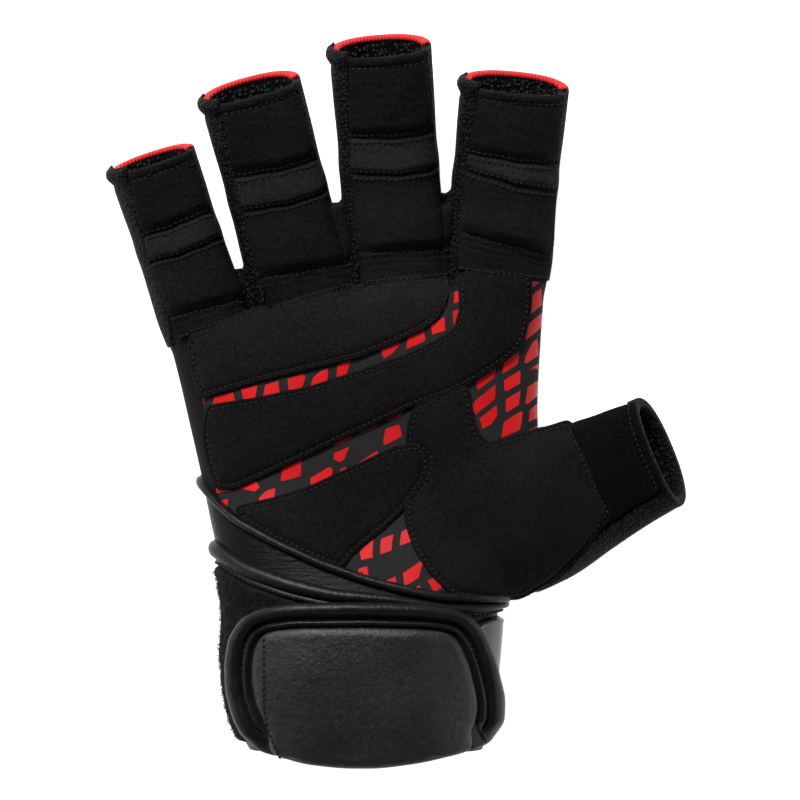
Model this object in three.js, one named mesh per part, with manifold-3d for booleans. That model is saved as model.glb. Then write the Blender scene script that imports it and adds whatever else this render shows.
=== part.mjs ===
import * as THREE from "three";
import { mergeVertices } from "three/addons/utils/BufferGeometryUtils.js";
import Module from "manifold-3d";

// A right-hand half-finger weightlifting glove, lying on its back with the palm up.
// Millimetres. Fingers point along +Y, the thumb towards +X, the palm faces +Z.

const wasm = await Module();
wasm.setup();

// Driving dimensions of the hand
const palmWidth = 120;
const palmLength = 100;
const palmBack = 15.5;
const palmFront = 18;
const palmRise = 14.5;
const wristRise = 24;
const palmHollow = 3.5;

// Fingers and thumb
const fingerLength = 70;
const fingerWidth = 31;
const fingerBack = 12.5;
const fingerFront = 10.5;
const fingerCurl = 12.5;
const thumbCurl = 10;
const thumbBack = 12;
const thumbFront = 12;
const rootOverlap = 12;

// Walls and gaps
const wall = 1.8;
const gap = 0.3;
const seamGap = 0.5;
// How far cutting shapes run past the part that they cut, and how far past a finger's tip
// and side, as shares of its length and half width
const overrun = 10;
const farAlong = 1.3;
const farAcross = 1.4;

// Suede pads
const fingerPad = 1.4;
const palmPad = 2.2;
const knitWidth = 5.4;
const bindingWidth = 3;
const bindingThickness = 0.9;
const rimLip = 1.2;
const bindingLip = 2.2;

// Cuff, strap and flap
const cuffLength = 41;
const pipingThickness = 1.8;
const pipingWidth = 2;
const bandThickness = 2.2;
const bandWidth = 4;
const strapThickness = 2.2;
const strapWidth = 34;
const patchWidth = 34;
const flapThickness = 1.8;
const flapPanelThickness = 3.2;
const borderThickness = 2.6;
const borderWidth = 4.2;
const tabLength = 10;
const tabThickness = 2.6;

// Materials
const finishes = {
  print: { color: 0x2b1a19, roughness: 0.75 },
  spandex: { color: 0x161616, roughness: 0.85 },
  knit: { color: 0x1c1c1c, roughness: 0.9 },
  suede: { color: 0x17171a, roughness: 0.95 },
  leather: { color: 0x1a1a1b, roughness: 0.45 },
  loop: { color: 0x111111, roughness: 1.0 },
  redBinding: { color: 0xc81f1f, roughness: 0.6 },
};

// Where a place is named in shares, x follows the palm's width and y its length.
const place = (x, y) => new THREE.Vector2(x * palmWidth, y * palmLength);

const kneeY = 0.3 * palmLength;
const wristFrom = -0.2 * palmLength;
const wristTo = -0.58 * palmLength;
const thumbRootX = 0.35 * palmWidth;
const thumbReach = 0.36 * palmWidth;

// Height of the middle of every wall section, which is also the parting height between
// the palm side and the back.
function midHeight(x, y) {
  const towardsWrist = THREE.MathUtils.smoothstep(wristFrom - y, 0, wristFrom - wristTo);
  const alongFinger = Math.max(0, y - kneeY) / fingerLength;
  const besideFingers = THREE.MathUtils.smoothstep(kneeY - y, 0, 0.15 * palmLength);
  const alongThumb = Math.max(0, x - thumbRootX) / thumbReach;
  return palmRise + (wristRise - palmRise) * towardsWrist
    + fingerCurl * alongFinger ** 2
    + thumbCurl * besideFingers * alongThumb ** 2;
}

function toSolid(geometry) {
  const bare = geometry.clone();
  bare.deleteAttribute("normal");
  bare.deleteAttribute("uv");
  const merged = mergeVertices(bare, 1e-4);
  return new wasm.Manifold(new wasm.Mesh({
    numProp: 3,
    vertProperties: new Float32Array(merged.attributes.position.array),
    triVerts: new Uint32Array(merged.index.array),
  }));
}

function toGeometry(solid) {
  const mesh = solid.getMesh();
  const geometry = new THREE.BufferGeometry();
  geometry.setAttribute("position", new THREE.BufferAttribute(mesh.vertProperties, 3));
  geometry.setIndex(new THREE.BufferAttribute(mesh.triVerts, 1));
  geometry.computeVertexNormals();
  return geometry;
}

// A tube-like solid through rings. A ring has its centre, the unit vectors across and up,
// half its width, its heights below and above the centre, the roundness of its corners,
// the height that it rests on and the depth of the hollow on its palm side.
function loft(rings, sides, offset) {
  const tube = new THREE.CylinderGeometry(1, 1, 1, sides, rings.length - 1);
  tube.deleteAttribute("normal");
  tube.deleteAttribute("uv");
  const skin = mergeVertices(tube, 1e-4);
  const spots = skin.attributes.position;
  for (let i = 0; i < spots.count; i += 1) {
    const ring = rings[Math.round((spots.getY(i) + 0.5) * (rings.length - 1))];
    const power = 2 / ring.squareness;
    const cx = spots.getX(i);
    const cz = spots.getZ(i);
    const across = Math.sign(cx) * Math.abs(cx) ** power;
    const up = Math.sign(cz) * Math.abs(cz) ** power;
    const height = cz > 0 ? ring.front + offset : ring.back + offset;
    const dip = cz > 0 ? ring.hollow * Math.exp(-(((across - 0.05) / 0.5) ** 2)) * up : 0;
    const point = ring.centre.clone()
      .addScaledVector(ring.across, across * (ring.half + offset))
      .addScaledVector(ring.up, up * height - dip);
    point.z = Math.max(point.z, ring.rest - offset);
    spots.setXYZ(i, point.x, point.y, point.z);
  }
  return toSolid(skin);
}

// Sections of the hand from the cuff's end to the knuckles. Places are shares of the palm's
// width and length; back and front are shares of the palm's own heights.
const handRows = [
  // leftX,  leftY,  rightX, rightY, back, front, hollow, square
  [-0.350, -1.100, 0.172, -1.100, 1.32, 1.12, 0.0, 2.3],
  [-0.425, -0.930, 0.202, -0.930, 1.38, 1.19, 0.0, 2.3],
  [-0.450, -0.760, 0.213, -0.760, 1.38, 1.20, 0.0, 2.3],
  [-0.448, -0.600, 0.231, -0.585, 1.36, 1.14, 0.0, 2.3],
  [-0.466, -0.460, 0.277, -0.520, 1.30, 1.06, 0.1, 2.4],
  [-0.493, -0.320, 0.312, -0.420, 1.12, 1.10, 0.5, 2.5],
  [-0.520, -0.170, 0.325, -0.270, 1.00, 1.10, 1.0, 2.6],
  [-0.545, -0.040, 0.330, -0.110, 1.00, 1.03, 1.0, 2.6],
  [-0.566, 0.070, 0.329, 0.040, 1.00, 0.96, 0.8, 2.6],
  [-0.586, 0.165, 0.337, 0.220, 0.98, 0.84, 0.4, 2.6],
  [-0.598, 0.225, 0.349, 0.420, 0.90, 0.66, 0.0, 2.6],
];

// Sections of a finger from its root to its opening. Along is a share of its own length,
// width a share of its own width, back and front shares of the finger heights.
const fingerRows = [
  // along, width, back, front
  [0.08, 1.02, 1.05, 0.97],
  [0.26, 1.01, 0.99, 1.06],
  [0.44, 0.99, 0.94, 0.95],
  [0.53, 1.00, 0.90, 0.99],
  [0.62, 0.98, 0.87, 0.89],
  [0.80, 1.00, 0.84, 0.94],
  [1.00, 1.01, 0.80, 0.86],
];

// Each finger: the place of its root, its lean to the little-finger side in degrees, its
// length and width as shares of the named ones, and its stitched grooves along it.
const fingerTable = [
  // name, x, y, lean, length, width, palm seam, lower groove, upper groove
  ["little", -0.500, 0.246, 18.2, 0.750, 0.820, 0.045, 0.468, 0.625],
  ["ring", -0.254, 0.336, 14.7, 0.908, 0.945, 0.040, 0.479, 0.637],
  ["middle", -0.021, 0.375, 4.4, 1.000, 0.935, 0.060, 0.505, 0.656],
  ["index", 0.223, 0.396, -5.5, 0.815, 1.000, 0.075, 0.532, 0.648],
];
const fingers = fingerTable.map(([name, x, y, lean, length, width, ...grooves]) => (
  { name, x, y, lean, length, width, grooves }
));

// Sections of the thumb from inside the palm to its opening: the places of its upper and
// lower edge, its heights as shares of the thumb's, and its corner shape.
const thumbRows = [
  // upperX, upperY, lowerX, lowerY, back, front, square
  [0.097, -0.100, 0.107, -0.540, 1.10, 1.45, 2.2],
  [0.217, -0.096, 0.249, -0.570, 1.25, 1.60, 2.2],
  [0.332, -0.080, 0.397, -0.505, 1.20, 1.42, 2.2],
  [0.417, -0.044, 0.510, -0.410, 1.02, 1.12, 2.2],
  [0.495, -0.008, 0.598, -0.338, 0.88, 0.88, 2.2],
  [0.575, 0.026, 0.680, -0.278, 0.82, 0.78, 2.2],
];

function ringAt(centre, across, half, back, front, more = {}) {
  const side = new THREE.Vector3(across.x, across.y, 0).normalize();
  const axis = new THREE.Vector3(-side.y, side.x, 0);
  const step = 0.5;
  const ahead = midHeight(centre.x + axis.x * step, centre.y + axis.y * step);
  const behind = midHeight(centre.x - axis.x * step, centre.y - axis.y * step);
  const slope = more.level ? 0 : Math.atan2(ahead - behind, 2 * step);
  const up = new THREE.Vector3(0, 0, 1).multiplyScalar(Math.cos(slope))
    .addScaledVector(axis, -Math.sin(slope));
  const along = axis.clone().multiplyScalar(Math.cos(slope));
  along.z = Math.sin(slope);
  return {
    centre: new THREE.Vector3(centre.x, centre.y, midHeight(centre.x, centre.y)),
    across: side, up, along, half, back, front,
    squareness: more.squareness ?? 2.3,
    rest: more.rest ?? 0,
    hollow: more.hollow ?? 0,
  };
}

function shifted(ring, distance) {
  return { ...ring, centre: ring.centre.clone().addScaledVector(ring.along, distance) };
}

const strapLift = strapThickness + gap;
const blockHeight = 8 * palmRise;

function handRings() {
  return handRows.map(([leftX, leftY, rightX, rightY, back, front, hollow, squareness]) => {
    const left = place(leftX, leftY);
    const right = place(rightX, rightY);
    const centre = left.clone().add(right).multiplyScalar(0.5);
    const inCuff = THREE.MathUtils.smoothstep(wristFrom - centre.y, 0, wristFrom - wristTo);
    return ringAt(centre, right.clone().sub(left), left.distanceTo(right) / 2,
      back * palmBack, front * palmFront,
      { squareness, rest: strapLift * inCuff, hollow: hollow * palmHollow, level: true });
  });
}

function fingerFrame(finger) {
  const lean = THREE.MathUtils.degToRad(finger.lean);
  const root = place(finger.x, finger.y);
  const axis = new THREE.Vector2(-Math.sin(lean), Math.cos(lean));
  const side = new THREE.Vector2(Math.cos(lean), Math.sin(lean));
  const length = finger.length * fingerLength;
  const half = finger.width * fingerWidth / 2;
  const at = (along, across) => root.clone()
    .addScaledVector(axis, along).addScaledVector(side, across);
  return { root, axis, side, length, half, at };
}

function fingerRings(finger) {
  const { side, length, half, at } = fingerFrame(finger);
  const rings = fingerRows.map(([along, width, back, front]) => ringAt(
    at(along * length, 0), side, width * half, back * fingerBack, front * fingerFront));
  const buried = ringAt(at(-rootOverlap, 0), side, 0.9 * half, fingerBack * 0.9,
    fingerFront * 0.9);
  return [buried, ...rings];
}

function thumbRings() {
  return thumbRows.map(([upperX, upperY, lowerX, lowerY, back, front, squareness]) => {
    const upper = place(upperX, upperY);
    const lower = place(lowerX, lowerY);
    const centre = upper.clone().add(lower).multiplyScalar(0.5);
    return ringAt(centre, lower.clone().sub(upper), upper.distanceTo(lower) / 2,
      back * thumbBack, front * thumbFront, { squareness });
  });
}

// Limbs with the number of sides of their outside and of their inside
const limbs = {
  hand: { rings: handRings(), sides: 16, insideSides: 12 },
  thumb: { rings: thumbRings(), sides: 10, insideSides: 8 },
};
for (const finger of fingers) {
  limbs[finger.name] = { rings: fingerRings(finger), sides: 12, insideSides: 6 };
}
const stalls = [...fingers.map((finger) => finger.name), "thumb"];

// One limb grown by an offset. End is how far its last ring goes past the opening, and
// start how far its first ring goes the other way.
function limbSolid(name, offset, end = 0, start = 0) {
  const { rings, sides, insideSides } = limbs[name];
  const list = rings.slice();
  const last = list.length - 1;
  if (end > 0) {
    list.push(shifted(rings[last], end));
  } else if (end < 0) {
    list[last] = shifted(rings[last], end);
  }
  if (start > 0) {
    list.unshift(shifted(rings[0], -start));
  }
  return loft(list, offset < 0 ? insideSides : sides, offset);
}

function bodySolid(offset, stallEnd = 0) {
  const parts = [limbSolid("hand", offset, offset, 0)];
  for (const name of stalls) {
    parts.push(limbSolid(name, offset, stallEnd, 0));
  }
  return joined(parts);
}

function joined(parts) {
  return parts.reduce((whole, part) => whole.add(part));
}

// A block above or below the parting height, over the whole glove.
function halfBlock(front, clearance) {
  const reach = 1.9 * palmWidth;
  const length = 3.2 * palmLength;
  const far = 6 * palmRise;
  const block = new THREE.BoxGeometry(reach, length, 2, 5, 11, 1);
  const spots = block.attributes.position;
  for (let i = 0; i < spots.count; i += 1) {
    const x = spots.getX(i) + 0.05 * palmWidth;
    const y = spots.getY(i) - 0.05 * palmLength;
    const inner = front ? spots.getZ(i) < 0 : spots.getZ(i) > 0;
    const mid = midHeight(x, y) + (front ? clearance : -clearance);
    spots.setXYZ(i, x, y, inner ? mid : (front ? far : -far));
  }
  return toSolid(block);
}

// An upright block of a closed outline, taller than the glove.
function prism(points) {
  const block = new THREE.ExtrudeGeometry(new THREE.Shape(points), {
    depth: blockHeight, bevelEnabled: false,
  });
  block.translate(0, 0, -blockHeight / 4);
  return toSolid(block);
}

const placed = (outline) => outline.map(([x, y]) => place(x, y));

// Outlines of the palm's pads and of the lines between palm and cuff, seen from above,
// in shares of the palm's width and length.
const outlines = {
  upperPad: [
    [-0.521, 0.227], [-0.380, 0.299], [-0.343, 0.302], [-0.286, 0.331], [-0.155, 0.373],
    [-0.116, 0.367], [-0.081, 0.388], [0.092, 0.408], [0.102, 0.364], [0.089, 0.313],
    [0.035, 0.245], [-0.032, 0.207], [-0.118, 0.165], [-0.252, 0.126], [-0.363, 0.094],
    [-0.502, 0.043], [-0.524, 0.180],
  ],
  middlePad: [
    [-0.494, 0.008], [-0.373, 0.031], [-0.232, 0.067], [-0.118, 0.112], [0.003, 0.162],
    [0.077, 0.204], [0.122, 0.239], [0.139, 0.307], [0.141, 0.408], [0.169, 0.426],
    [0.307, 0.399], [0.305, 0.307], [0.290, 0.218], [0.223, 0.138], [0.140, 0.081],
    [0.003, 0.018], [-0.165, -0.081], [-0.316, -0.167], [-0.420, -0.224],
    [-0.469, -0.230], [-0.502, -0.075],
  ],
  heelPad: [
    [-0.415, -0.290], [-0.326, -0.265], [-0.242, -0.233], [-0.138, -0.176],
    [-0.034, -0.117], [0.014, -0.108], [0.040, -0.130], [0.043, -0.161], [0.026, -0.212],
    [-0.014, -0.286], [-0.068, -0.348], [-0.138, -0.418], [-0.160, -0.452],
    [-0.212, -0.430], [-0.319, -0.370],
  ],
  thumbPad: [
    [0.023, 0.005], [0.142, 0.060], [0.154, 0.026], [0.161, -0.031], [0.176, -0.078],
    [0.203, -0.105], [0.238, -0.093], [0.322, -0.063], [0.400, -0.046], [0.433, -0.141],
    [0.464, -0.227], [0.498, -0.304], [0.412, -0.414], [0.349, -0.470], [0.277, -0.518],
    [0.181, -0.526], [0.112, -0.520], [0.066, -0.476], [0.025, -0.414], [0.003, -0.336],
    [0.004, -0.286], [0.050, -0.215], [0.068, -0.164], [0.062, -0.118], [0.010, -0.086],
  ],
  thumbTip: [
    [0.411, -0.022], [0.577, 0.061], [0.760, 0.020], [0.760, -0.230], [0.626, -0.240],
    [0.515, -0.296], [0.478, -0.227], [0.447, -0.141],
  ],
  thumbKnit: [
    [0.420, -0.430], [0.512, -0.316], [0.626, -0.260], [0.800, -0.245], [0.820, -0.420],
    [0.620, -0.520], [0.440, -0.545],
  ],
};

// The line where the palm ends and the cuff begins, and the lines of the cuff's band.
const palmEdge = [
  [-0.590, -0.090], [-0.546, -0.147], [-0.502, -0.215], [-0.410, -0.322], [-0.319, -0.381],
  [-0.212, -0.440], [-0.106, -0.485], [-0.024, -0.511], [0.082, -0.538], [0.277, -0.542],
  [0.379, -0.535],
];
const bandEdge = [
  [-0.560, -0.345], [-0.517, -0.363], [-0.461, -0.398], [-0.397, -0.448], [-0.292, -0.492],
  [-0.184, -0.525], [-0.024, -0.547], [0.101, -0.571], [0.179, -0.571], [0.253, -0.552],
  [0.376, -0.522],
];

// The flap at the strap's end
const flapOutline = [
  [-0.442, -0.771], [-0.434, -0.680], [-0.405, -0.613], [-0.359, -0.581], [-0.281, -0.566],
  [-0.098, -0.563], [0.051, -0.569], [0.117, -0.581], [0.159, -0.607], [0.193, -0.672],
  [0.217, -0.762], [0.232, -0.850], [0.230, -0.929], [0.210, -0.979], [0.134, -1.009],
  [0.034, -1.035], [-0.066, -1.050], [-0.156, -1.050], [-0.256, -1.038], [-0.364, -1.003],
  [-0.405, -0.950], [-0.434, -0.862],
];

// The inner edge of a finger's knit strip: places along it as shares of the finger's
// length, and the strip's width there as a share of its full width.
const knitEdge = [
  [0, 0.2], [0.35, 0.75], [farAlong, 1],
];

// Where the cloth of the fingers and the thumb begins: along and across a finger as shares
// of its length and half width, and the line across the thumb's root.
const stallRoot = 0.05;
const stallSpread = 1.02;
const thumbRoot = [[0.372, 0.060], [0.372, -0.600]];
// The rolled border ends under the thumb.
const pipingReach = 0.1;

// Where the flap's rolled edge ends on its left and right sides
const rollLeft = -0.37;
const rollRight = 0.19;
const rollFoot = -0.96;

// A strip along a line: the line itself, moved down by a width and closed.
function strip(line, width, drop = 0) {
  const upper = placed(line).map((point) => new THREE.Vector2(point.x, point.y - drop));
  const lower = upper.map((point) => new THREE.Vector2(point.x, point.y - width)).reverse();
  return [...upper, ...lower];
}

// Everything on the far side of a line, up to a distant edge.
function beyond(line, edgeY, drop = 0) {
  const points = placed(line).map((point) => new THREE.Vector2(point.x, point.y - drop));
  const first = points[0];
  const last = points[points.length - 1];
  const out = palmWidth;
  return [
    new THREE.Vector2(-out, first.y), ...points, new THREE.Vector2(out, last.y),
    new THREE.Vector2(out, edgeY), new THREE.Vector2(-out, edgeY),
  ].reverse();
}

const frontHalf = halfBlock(true, gap / 2);
const backHalf = halfBlock(false, gap / 2);
const farUp = 1.4 * (palmLength + fingerLength);
const wristEnd = -0.6 * palmLength - cuffLength;

// The hollow form: outer body less its inside, which runs out at every opening.
const inside = joined([
  limbSolid("hand", -wall, -wall, overrun),
  ...stalls.map((name) => limbSolid(name, -wall, overrun)),
]);
const shell = bodySolid(0).subtract(inside);
const grown = bodySolid(gap, gap);

const pieces = [];
function addPiece(name, solid, finish) {
  pieces.push({ name, solid, finish });
}

// The region of one finger between two places along it and two places across it
function fingerRegion(finger, from, to, fromAcross, toAcross) {
  const { at } = fingerFrame(finger);
  return prism([
    at(from, fromAcross), at(from, toAcross), at(to, toAcross), at(to, fromAcross),
  ]);
}

// Knit strips along the fingers' little-finger sides and along the thumb's lower side
const knitRegions = [];
for (const finger of fingers) {
  const { length, half, at } = fingerFrame(finger);
  const region = (grow) => prism([
    at(-0.5 * grow, -farAcross * half - grow),
    ...knitEdge.map(([along, width], index) => at(
      index === 0 ? -0.5 * grow : along * length, -half + width * knitWidth + grow)),
    at(farAlong * length, -farAcross * half - grow),
  ]);
  const tube = limbSolid(finger.name, 0)
    .subtract(limbSolid(finger.name, -wall, overrun, overrun));
  knitRegions.push(region(gap));
  addPiece(`side_knit_${finger.name}`,
    tube.subtract(inside).intersect(frontHalf).intersect(region(0)), "knit");
}
const thumbKnitOutline = placed(outlines.thumbKnit);
const besideKnit = thumbKnitOutline.map((point) => new THREE.Vector2(point.x - gap, point.y + gap));
addPiece("side_knit_thumb", shell.intersect(frontHalf).intersect(prism(thumbKnitOutline)), "knit");
knitRegions.push(prism(thumbKnitOutline), prism(besideKnit));

// The palm side and the back, with the fingers' and the thumb's own cloth, and the cuff
const handRegion = prism(beyond(palmEdge, farUp));
const palmSide = knitRegions.reduce((rest, region) => rest.subtract(region),
  shell.intersect(frontHalf).intersect(handRegion));
const backSide = shell.intersect(backHalf).intersect(handRegion);
const stallRegions = [];
for (const finger of fingers) {
  const { length, half } = fingerFrame(finger);
  const spread = stallSpread * half;
  stallRegions.push({
    name: finger.name,
    region: (grow) => fingerRegion(finger, stallRoot * length - grow, farAlong * length,
      -spread - grow, spread + grow),
  });
}
const thumbLine = placed(thumbRoot);
stallRegions.push({
  name: "thumb",
  region: (grow) => prism([
    thumbLine[0].clone().add(new THREE.Vector2(-grow, grow)),
    thumbLine[1].clone().add(new THREE.Vector2(-grow, -grow)),
    new THREE.Vector2(palmWidth, thumbLine[1].y - grow),
    new THREE.Vector2(palmWidth, thumbLine[0].y + grow),
  ]),
});
function withoutStalls(cloth, count, grow) {
  return stallRegions.slice(0, count).reduce(
    (rest, stall) => rest.subtract(stall.region(grow)), cloth);
}
for (const [side, cloth, finish] of [["front", palmSide, "print"], ["back", backSide, "spandex"]]) {
  stallRegions.forEach((stall, index) => {
    addPiece(`${side}_${stall.name}`,
      withoutStalls(cloth.intersect(stall.region(0)), index, gap), finish);
  });
}
addPiece("palm_panel", withoutStalls(palmSide, stallRegions.length, gap), "print");
addPiece("back_panel", withoutStalls(backSide, stallRegions.length, gap), "spandex");
const cuffRegion = prism([
  new THREE.Vector2(-palmWidth, wristEnd), new THREE.Vector2(palmWidth, wristEnd),
  new THREE.Vector2(palmWidth, farUp), new THREE.Vector2(-palmWidth, farUp),
]);
addPiece("wrist_cuff",
  shell.intersect(cuffRegion).subtract(prism(beyond(palmEdge, farUp, gap))), "leather");

// Padded sections of the fingers
for (const finger of fingers) {
  const { name, grooves } = finger;
  const { length, half } = fingerFrame(finger);
  const [root, lower, upper] = grooves.map((share) => share * length);
  const layer = limbSolid(name, gap + fingerPad, rimLip)
    .subtract(limbSolid(name, gap, gap, overrun)).intersect(frontHalf);
  const hollow = limbSolid(name, -wall, overrun, overrun);
  const left = -half + knitWidth + seamGap;
  const right = farAcross * half;
  const section = (from, to) => layer.intersect(
    fingerRegion(finger, from + seamGap / 2, to - seamGap / 2, left, right));
  addPiece(`base_pad_${name}`, section(root, lower).subtract(grown), "suede");
  addPiece(`flex_pad_${name}`, section(lower, upper), "suede");
  addPiece(`tip_pad_${name}`, section(upper, farAlong * length).subtract(hollow), "suede");
  addPiece(`finger_binding_${name}`, rimBinding(name, bindingLip).intersect(backHalf), "redBinding");
}
addPiece("thumb_binding", rimBinding("thumb", rimLip), "knit");

// A binding round a limb's opening, which stands out beyond it by a lip
function rimBinding(name, lip) {
  return limbSolid(name, gap + bindingThickness, lip)
    .subtract(limbSolid(name, gap + 2 * bindingThickness, -bindingWidth, overrun))
    .subtract(limbSolid(name, -wall, overrun, overrun))
    .subtract(limbSolid(name, gap, gap, overrun));
}

// Padded suede shapes of the palm
const padLayer = bodySolid(gap + palmPad).subtract(grown).intersect(frontHalf);
for (const [name, outline] of [
  ["upper_palm_pad", outlines.upperPad], ["middle_palm_pad", outlines.middlePad],
  ["heel_pad", outlines.heelPad], ["thumb_pad", outlines.thumbPad],
]) {
  addPiece(name, padLayer.intersect(prism(placed(outline))), "suede");
}
const thumbTip = limbSolid("thumb", gap + fingerPad, -bindingWidth - gap)
  .subtract(grown).intersect(frontHalf);
addPiece("thumb_tip_pad", thumbTip.intersect(prism(placed(outlines.thumbTip))), "suede");

// A layer round the hand between two heights over it
const cuffLayer = (from, to) => limbSolid("hand", to, overrun, overrun)
  .subtract(limbSolid("hand", from, 2 * overrun, 2 * overrun));
const pipingLine = palmEdge.filter(([x]) => x < pipingReach);
addPiece("palm_piping", cuffLayer(gap, gap + pipingThickness).subtract(grown)
  .intersect(frontHalf).intersect(prism(strip(pipingLine, pipingWidth))), "leather");
addPiece("cuff_band", cuffLayer(gap, gap + bandThickness).subtract(grown)
  .intersect(prism(strip(bandEdge, bandWidth))), "leather");

// Closure: the loop patch on the little-finger side, the strap round the back and the
// thumb side, and the padded flap that the strap ends in, over the front.
const strapTop = -0.645 * palmLength;
const strapBottom = strapTop - strapWidth;
const rectangle = (x0, x1, y0, y1) => [
  new THREE.Vector2(x0, y0), new THREE.Vector2(x1, y0),
  new THREE.Vector2(x1, y1), new THREE.Vector2(x0, y1),
];
const leftEdge = -0.44 * palmWidth;
const patchReach = leftEdge + patchWidth;
const strapFront = 0.16 * palmWidth;
const strapStart = leftEdge + 0.07 * palmWidth;

const closureLayer = cuffLayer(gap, gap + strapThickness);
const underBand = placed(bandEdge)
  .map((point) => new THREE.Vector2(point.x, point.y - bandWidth - gap))
  .filter((point) => point.x < patchReach);
addPiece("loop_patch", closureLayer.intersect(frontHalf).intersect(prism([
  new THREE.Vector2(underBand[0].x, strapBottom), new THREE.Vector2(patchReach, strapBottom),
  new THREE.Vector2(patchReach, strapTop), ...underBand.reverse(),
])), "loop");
addPiece("wrist_strap", joined([
  closureLayer.intersect(backHalf)
    .intersect(prism(rectangle(strapStart, palmWidth, strapBottom, strapTop))),
  closureLayer.intersect(prism(rectangle(strapFront, palmWidth, strapBottom, strapTop))),
]), "leather");

const flapLow = gap + strapThickness + gap;
const flapHigh = flapLow + flapThickness;
// The flap's outline, drawn in on all sides
function flapRegion(inset) {
  const points = placed(flapOutline);
  const centre = points.reduce((sum, point) => sum.add(point), new THREE.Vector2())
    .divideScalar(points.length);
  const box = new THREE.Box2().setFromPoints(points);
  const size = box.getSize(new THREE.Vector2()).multiplyScalar(0.5);
  return prism(points.map((point) => new THREE.Vector2(
    centre.x + (point.x - centre.x) * (1 - inset / size.x),
    centre.y + (point.y - centre.y) * (1 - inset / size.y))));
}
addPiece("strap_flap", cuffLayer(flapLow, flapHigh).intersect(frontHalf)
  .intersect(flapRegion(0)), "leather");
// The rolled edge runs along the top and both sides, and the panel goes over the bottom.
const openEdge = (inset) => prism(rectangle(
  rollLeft * palmWidth + inset, rollRight * palmWidth - inset,
  wristEnd - overrun, rollFoot * palmLength));
addPiece("flap_border", cuffLayer(flapHigh + gap, flapHigh + gap + borderThickness)
  .intersect(frontHalf).intersect(flapRegion(0)).subtract(flapRegion(borderWidth))
  .subtract(openEdge(0)), "leather");
addPiece("flap_panel", cuffLayer(flapHigh + gap, flapHigh + gap + flapPanelThickness)
  .intersect(frontHalf).intersect(flapRegion(borderWidth + gap)
    .add(flapRegion(0).intersect(openEdge(gap)))), "leather");
const tabFoot = -0.9 * palmLength;
addPiece("strap_tab", cuffLayer(flapLow, flapLow + tabThickness).intersect(backHalf)
  .intersect(prism(rectangle(0.21 * palmWidth, palmWidth, tabFoot, tabFoot + tabLength))),
"leather");

const group = new THREE.Group();
for (const { name, solid, finish } of pieces) {
  const look = finishes[finish];
  const mesh = new THREE.Mesh(toGeometry(solid), new THREE.MeshStandardMaterial({
    color: look.color, roughness: look.roughness, metalness: 0,
  }));
  mesh.name = name;
  group.add(mesh);
}

// The origin is under the middle of the glove, on the surface that it lies on.
const extent = new THREE.Box3().setFromObject(group);
const middle = extent.getCenter(new THREE.Vector3());
group.position.set(-middle.x, -middle.y, -extent.min.z);

export default group;
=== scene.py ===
import math

import bmesh
import bpy
import numpy as np
from bpy.props import FloatProperty, FloatVectorProperty, PointerProperty
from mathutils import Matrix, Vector, bvhtree, geometry


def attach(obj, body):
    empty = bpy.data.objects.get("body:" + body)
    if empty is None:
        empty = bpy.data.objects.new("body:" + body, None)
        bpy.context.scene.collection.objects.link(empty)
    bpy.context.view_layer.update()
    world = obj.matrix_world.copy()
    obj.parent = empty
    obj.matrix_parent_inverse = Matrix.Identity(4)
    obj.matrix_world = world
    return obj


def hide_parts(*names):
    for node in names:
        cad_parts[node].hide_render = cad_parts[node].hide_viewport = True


bl_info = {
    "name": "Weightlifting glove",
    "version": (1, 0, 0),
    "blender": (4, 5, 0),
    "location": "View3D > Sidebar > Glove",
    "description": "Pads, knit, print, stitching, rolls and strap of a half-finger glove",
    "category": "Object",
}

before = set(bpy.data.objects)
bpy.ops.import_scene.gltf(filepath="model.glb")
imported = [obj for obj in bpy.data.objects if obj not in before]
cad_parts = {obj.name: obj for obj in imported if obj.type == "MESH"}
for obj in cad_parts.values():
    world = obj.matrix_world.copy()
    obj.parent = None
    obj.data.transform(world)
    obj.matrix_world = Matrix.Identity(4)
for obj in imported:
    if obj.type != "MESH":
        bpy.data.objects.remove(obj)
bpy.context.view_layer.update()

# Sizes of the hand, mm
# The same hand as the frame's: fingers along +Y, the thumb towards +X, the palm up.
PALM_WIDTH = 120.0
PALM_LENGTH = 100.0
PALM_BACK = 15.5
PALM_FRONT = 18.0
PALM_RISE = 14.5
WRIST_RISE = 24.0
PALM_HOLLOW = 3.5
FINGER_LENGTH = 70.0
FINGER_WIDTH = 31.0
FINGER_BACK = 12.5
FINGER_FRONT = 10.5
FINGER_CURL = 12.5
THUMB_CURL = 10.0
THUMB_SIDE = 12.0
ROOT_OVERLAP = 12.0
WALL = 1.8
STRAP_LIFT = 2.5
CUFF_LENGTH = 41.0
WRIST_END = -0.6 * PALM_LENGTH - CUFF_LENGTH
STRAP_TOP = -0.645 * PALM_LENGTH
STRAP_WIDTH = 34.0
STRAP_BOTTOM = STRAP_TOP - STRAP_WIDTH
# Where the hand's own origin lies in the frame, and the hand's place under the camera
ORIGIN = (3.1707, -4.3030)
VIEWED = (-2.0268, 3.1497)
MM = 0.001

# Sizes of the sewn pieces, mm
# Steps of the finger pads' grids, of the knits' and of the flap's border
PAD_STEP = 0.5
KNIT_STEP = 0.8
BORDER_STEP = 0.7
# Rows of points close to the edge of a cut pad
EDGE_ROWS = (0.3, 0.7, 1.2)
# How far a base section reaches under the palm's pad, and what reaches past an opening
TUCKED_UNDER = 1.5
PAST_OPENING = 0.6
KNIT_PAST_RIM = 2.4
TRIM_PAST_RIM = 0.5
# Seams: how far they lie inside an edge
HEM_SEAM = 2.9
THUMB_HEM = 2.4
PAD_SEAM = 1.5
# How far the finger sections swell above their seams
SECTION_SWELL = 1.9
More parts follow.
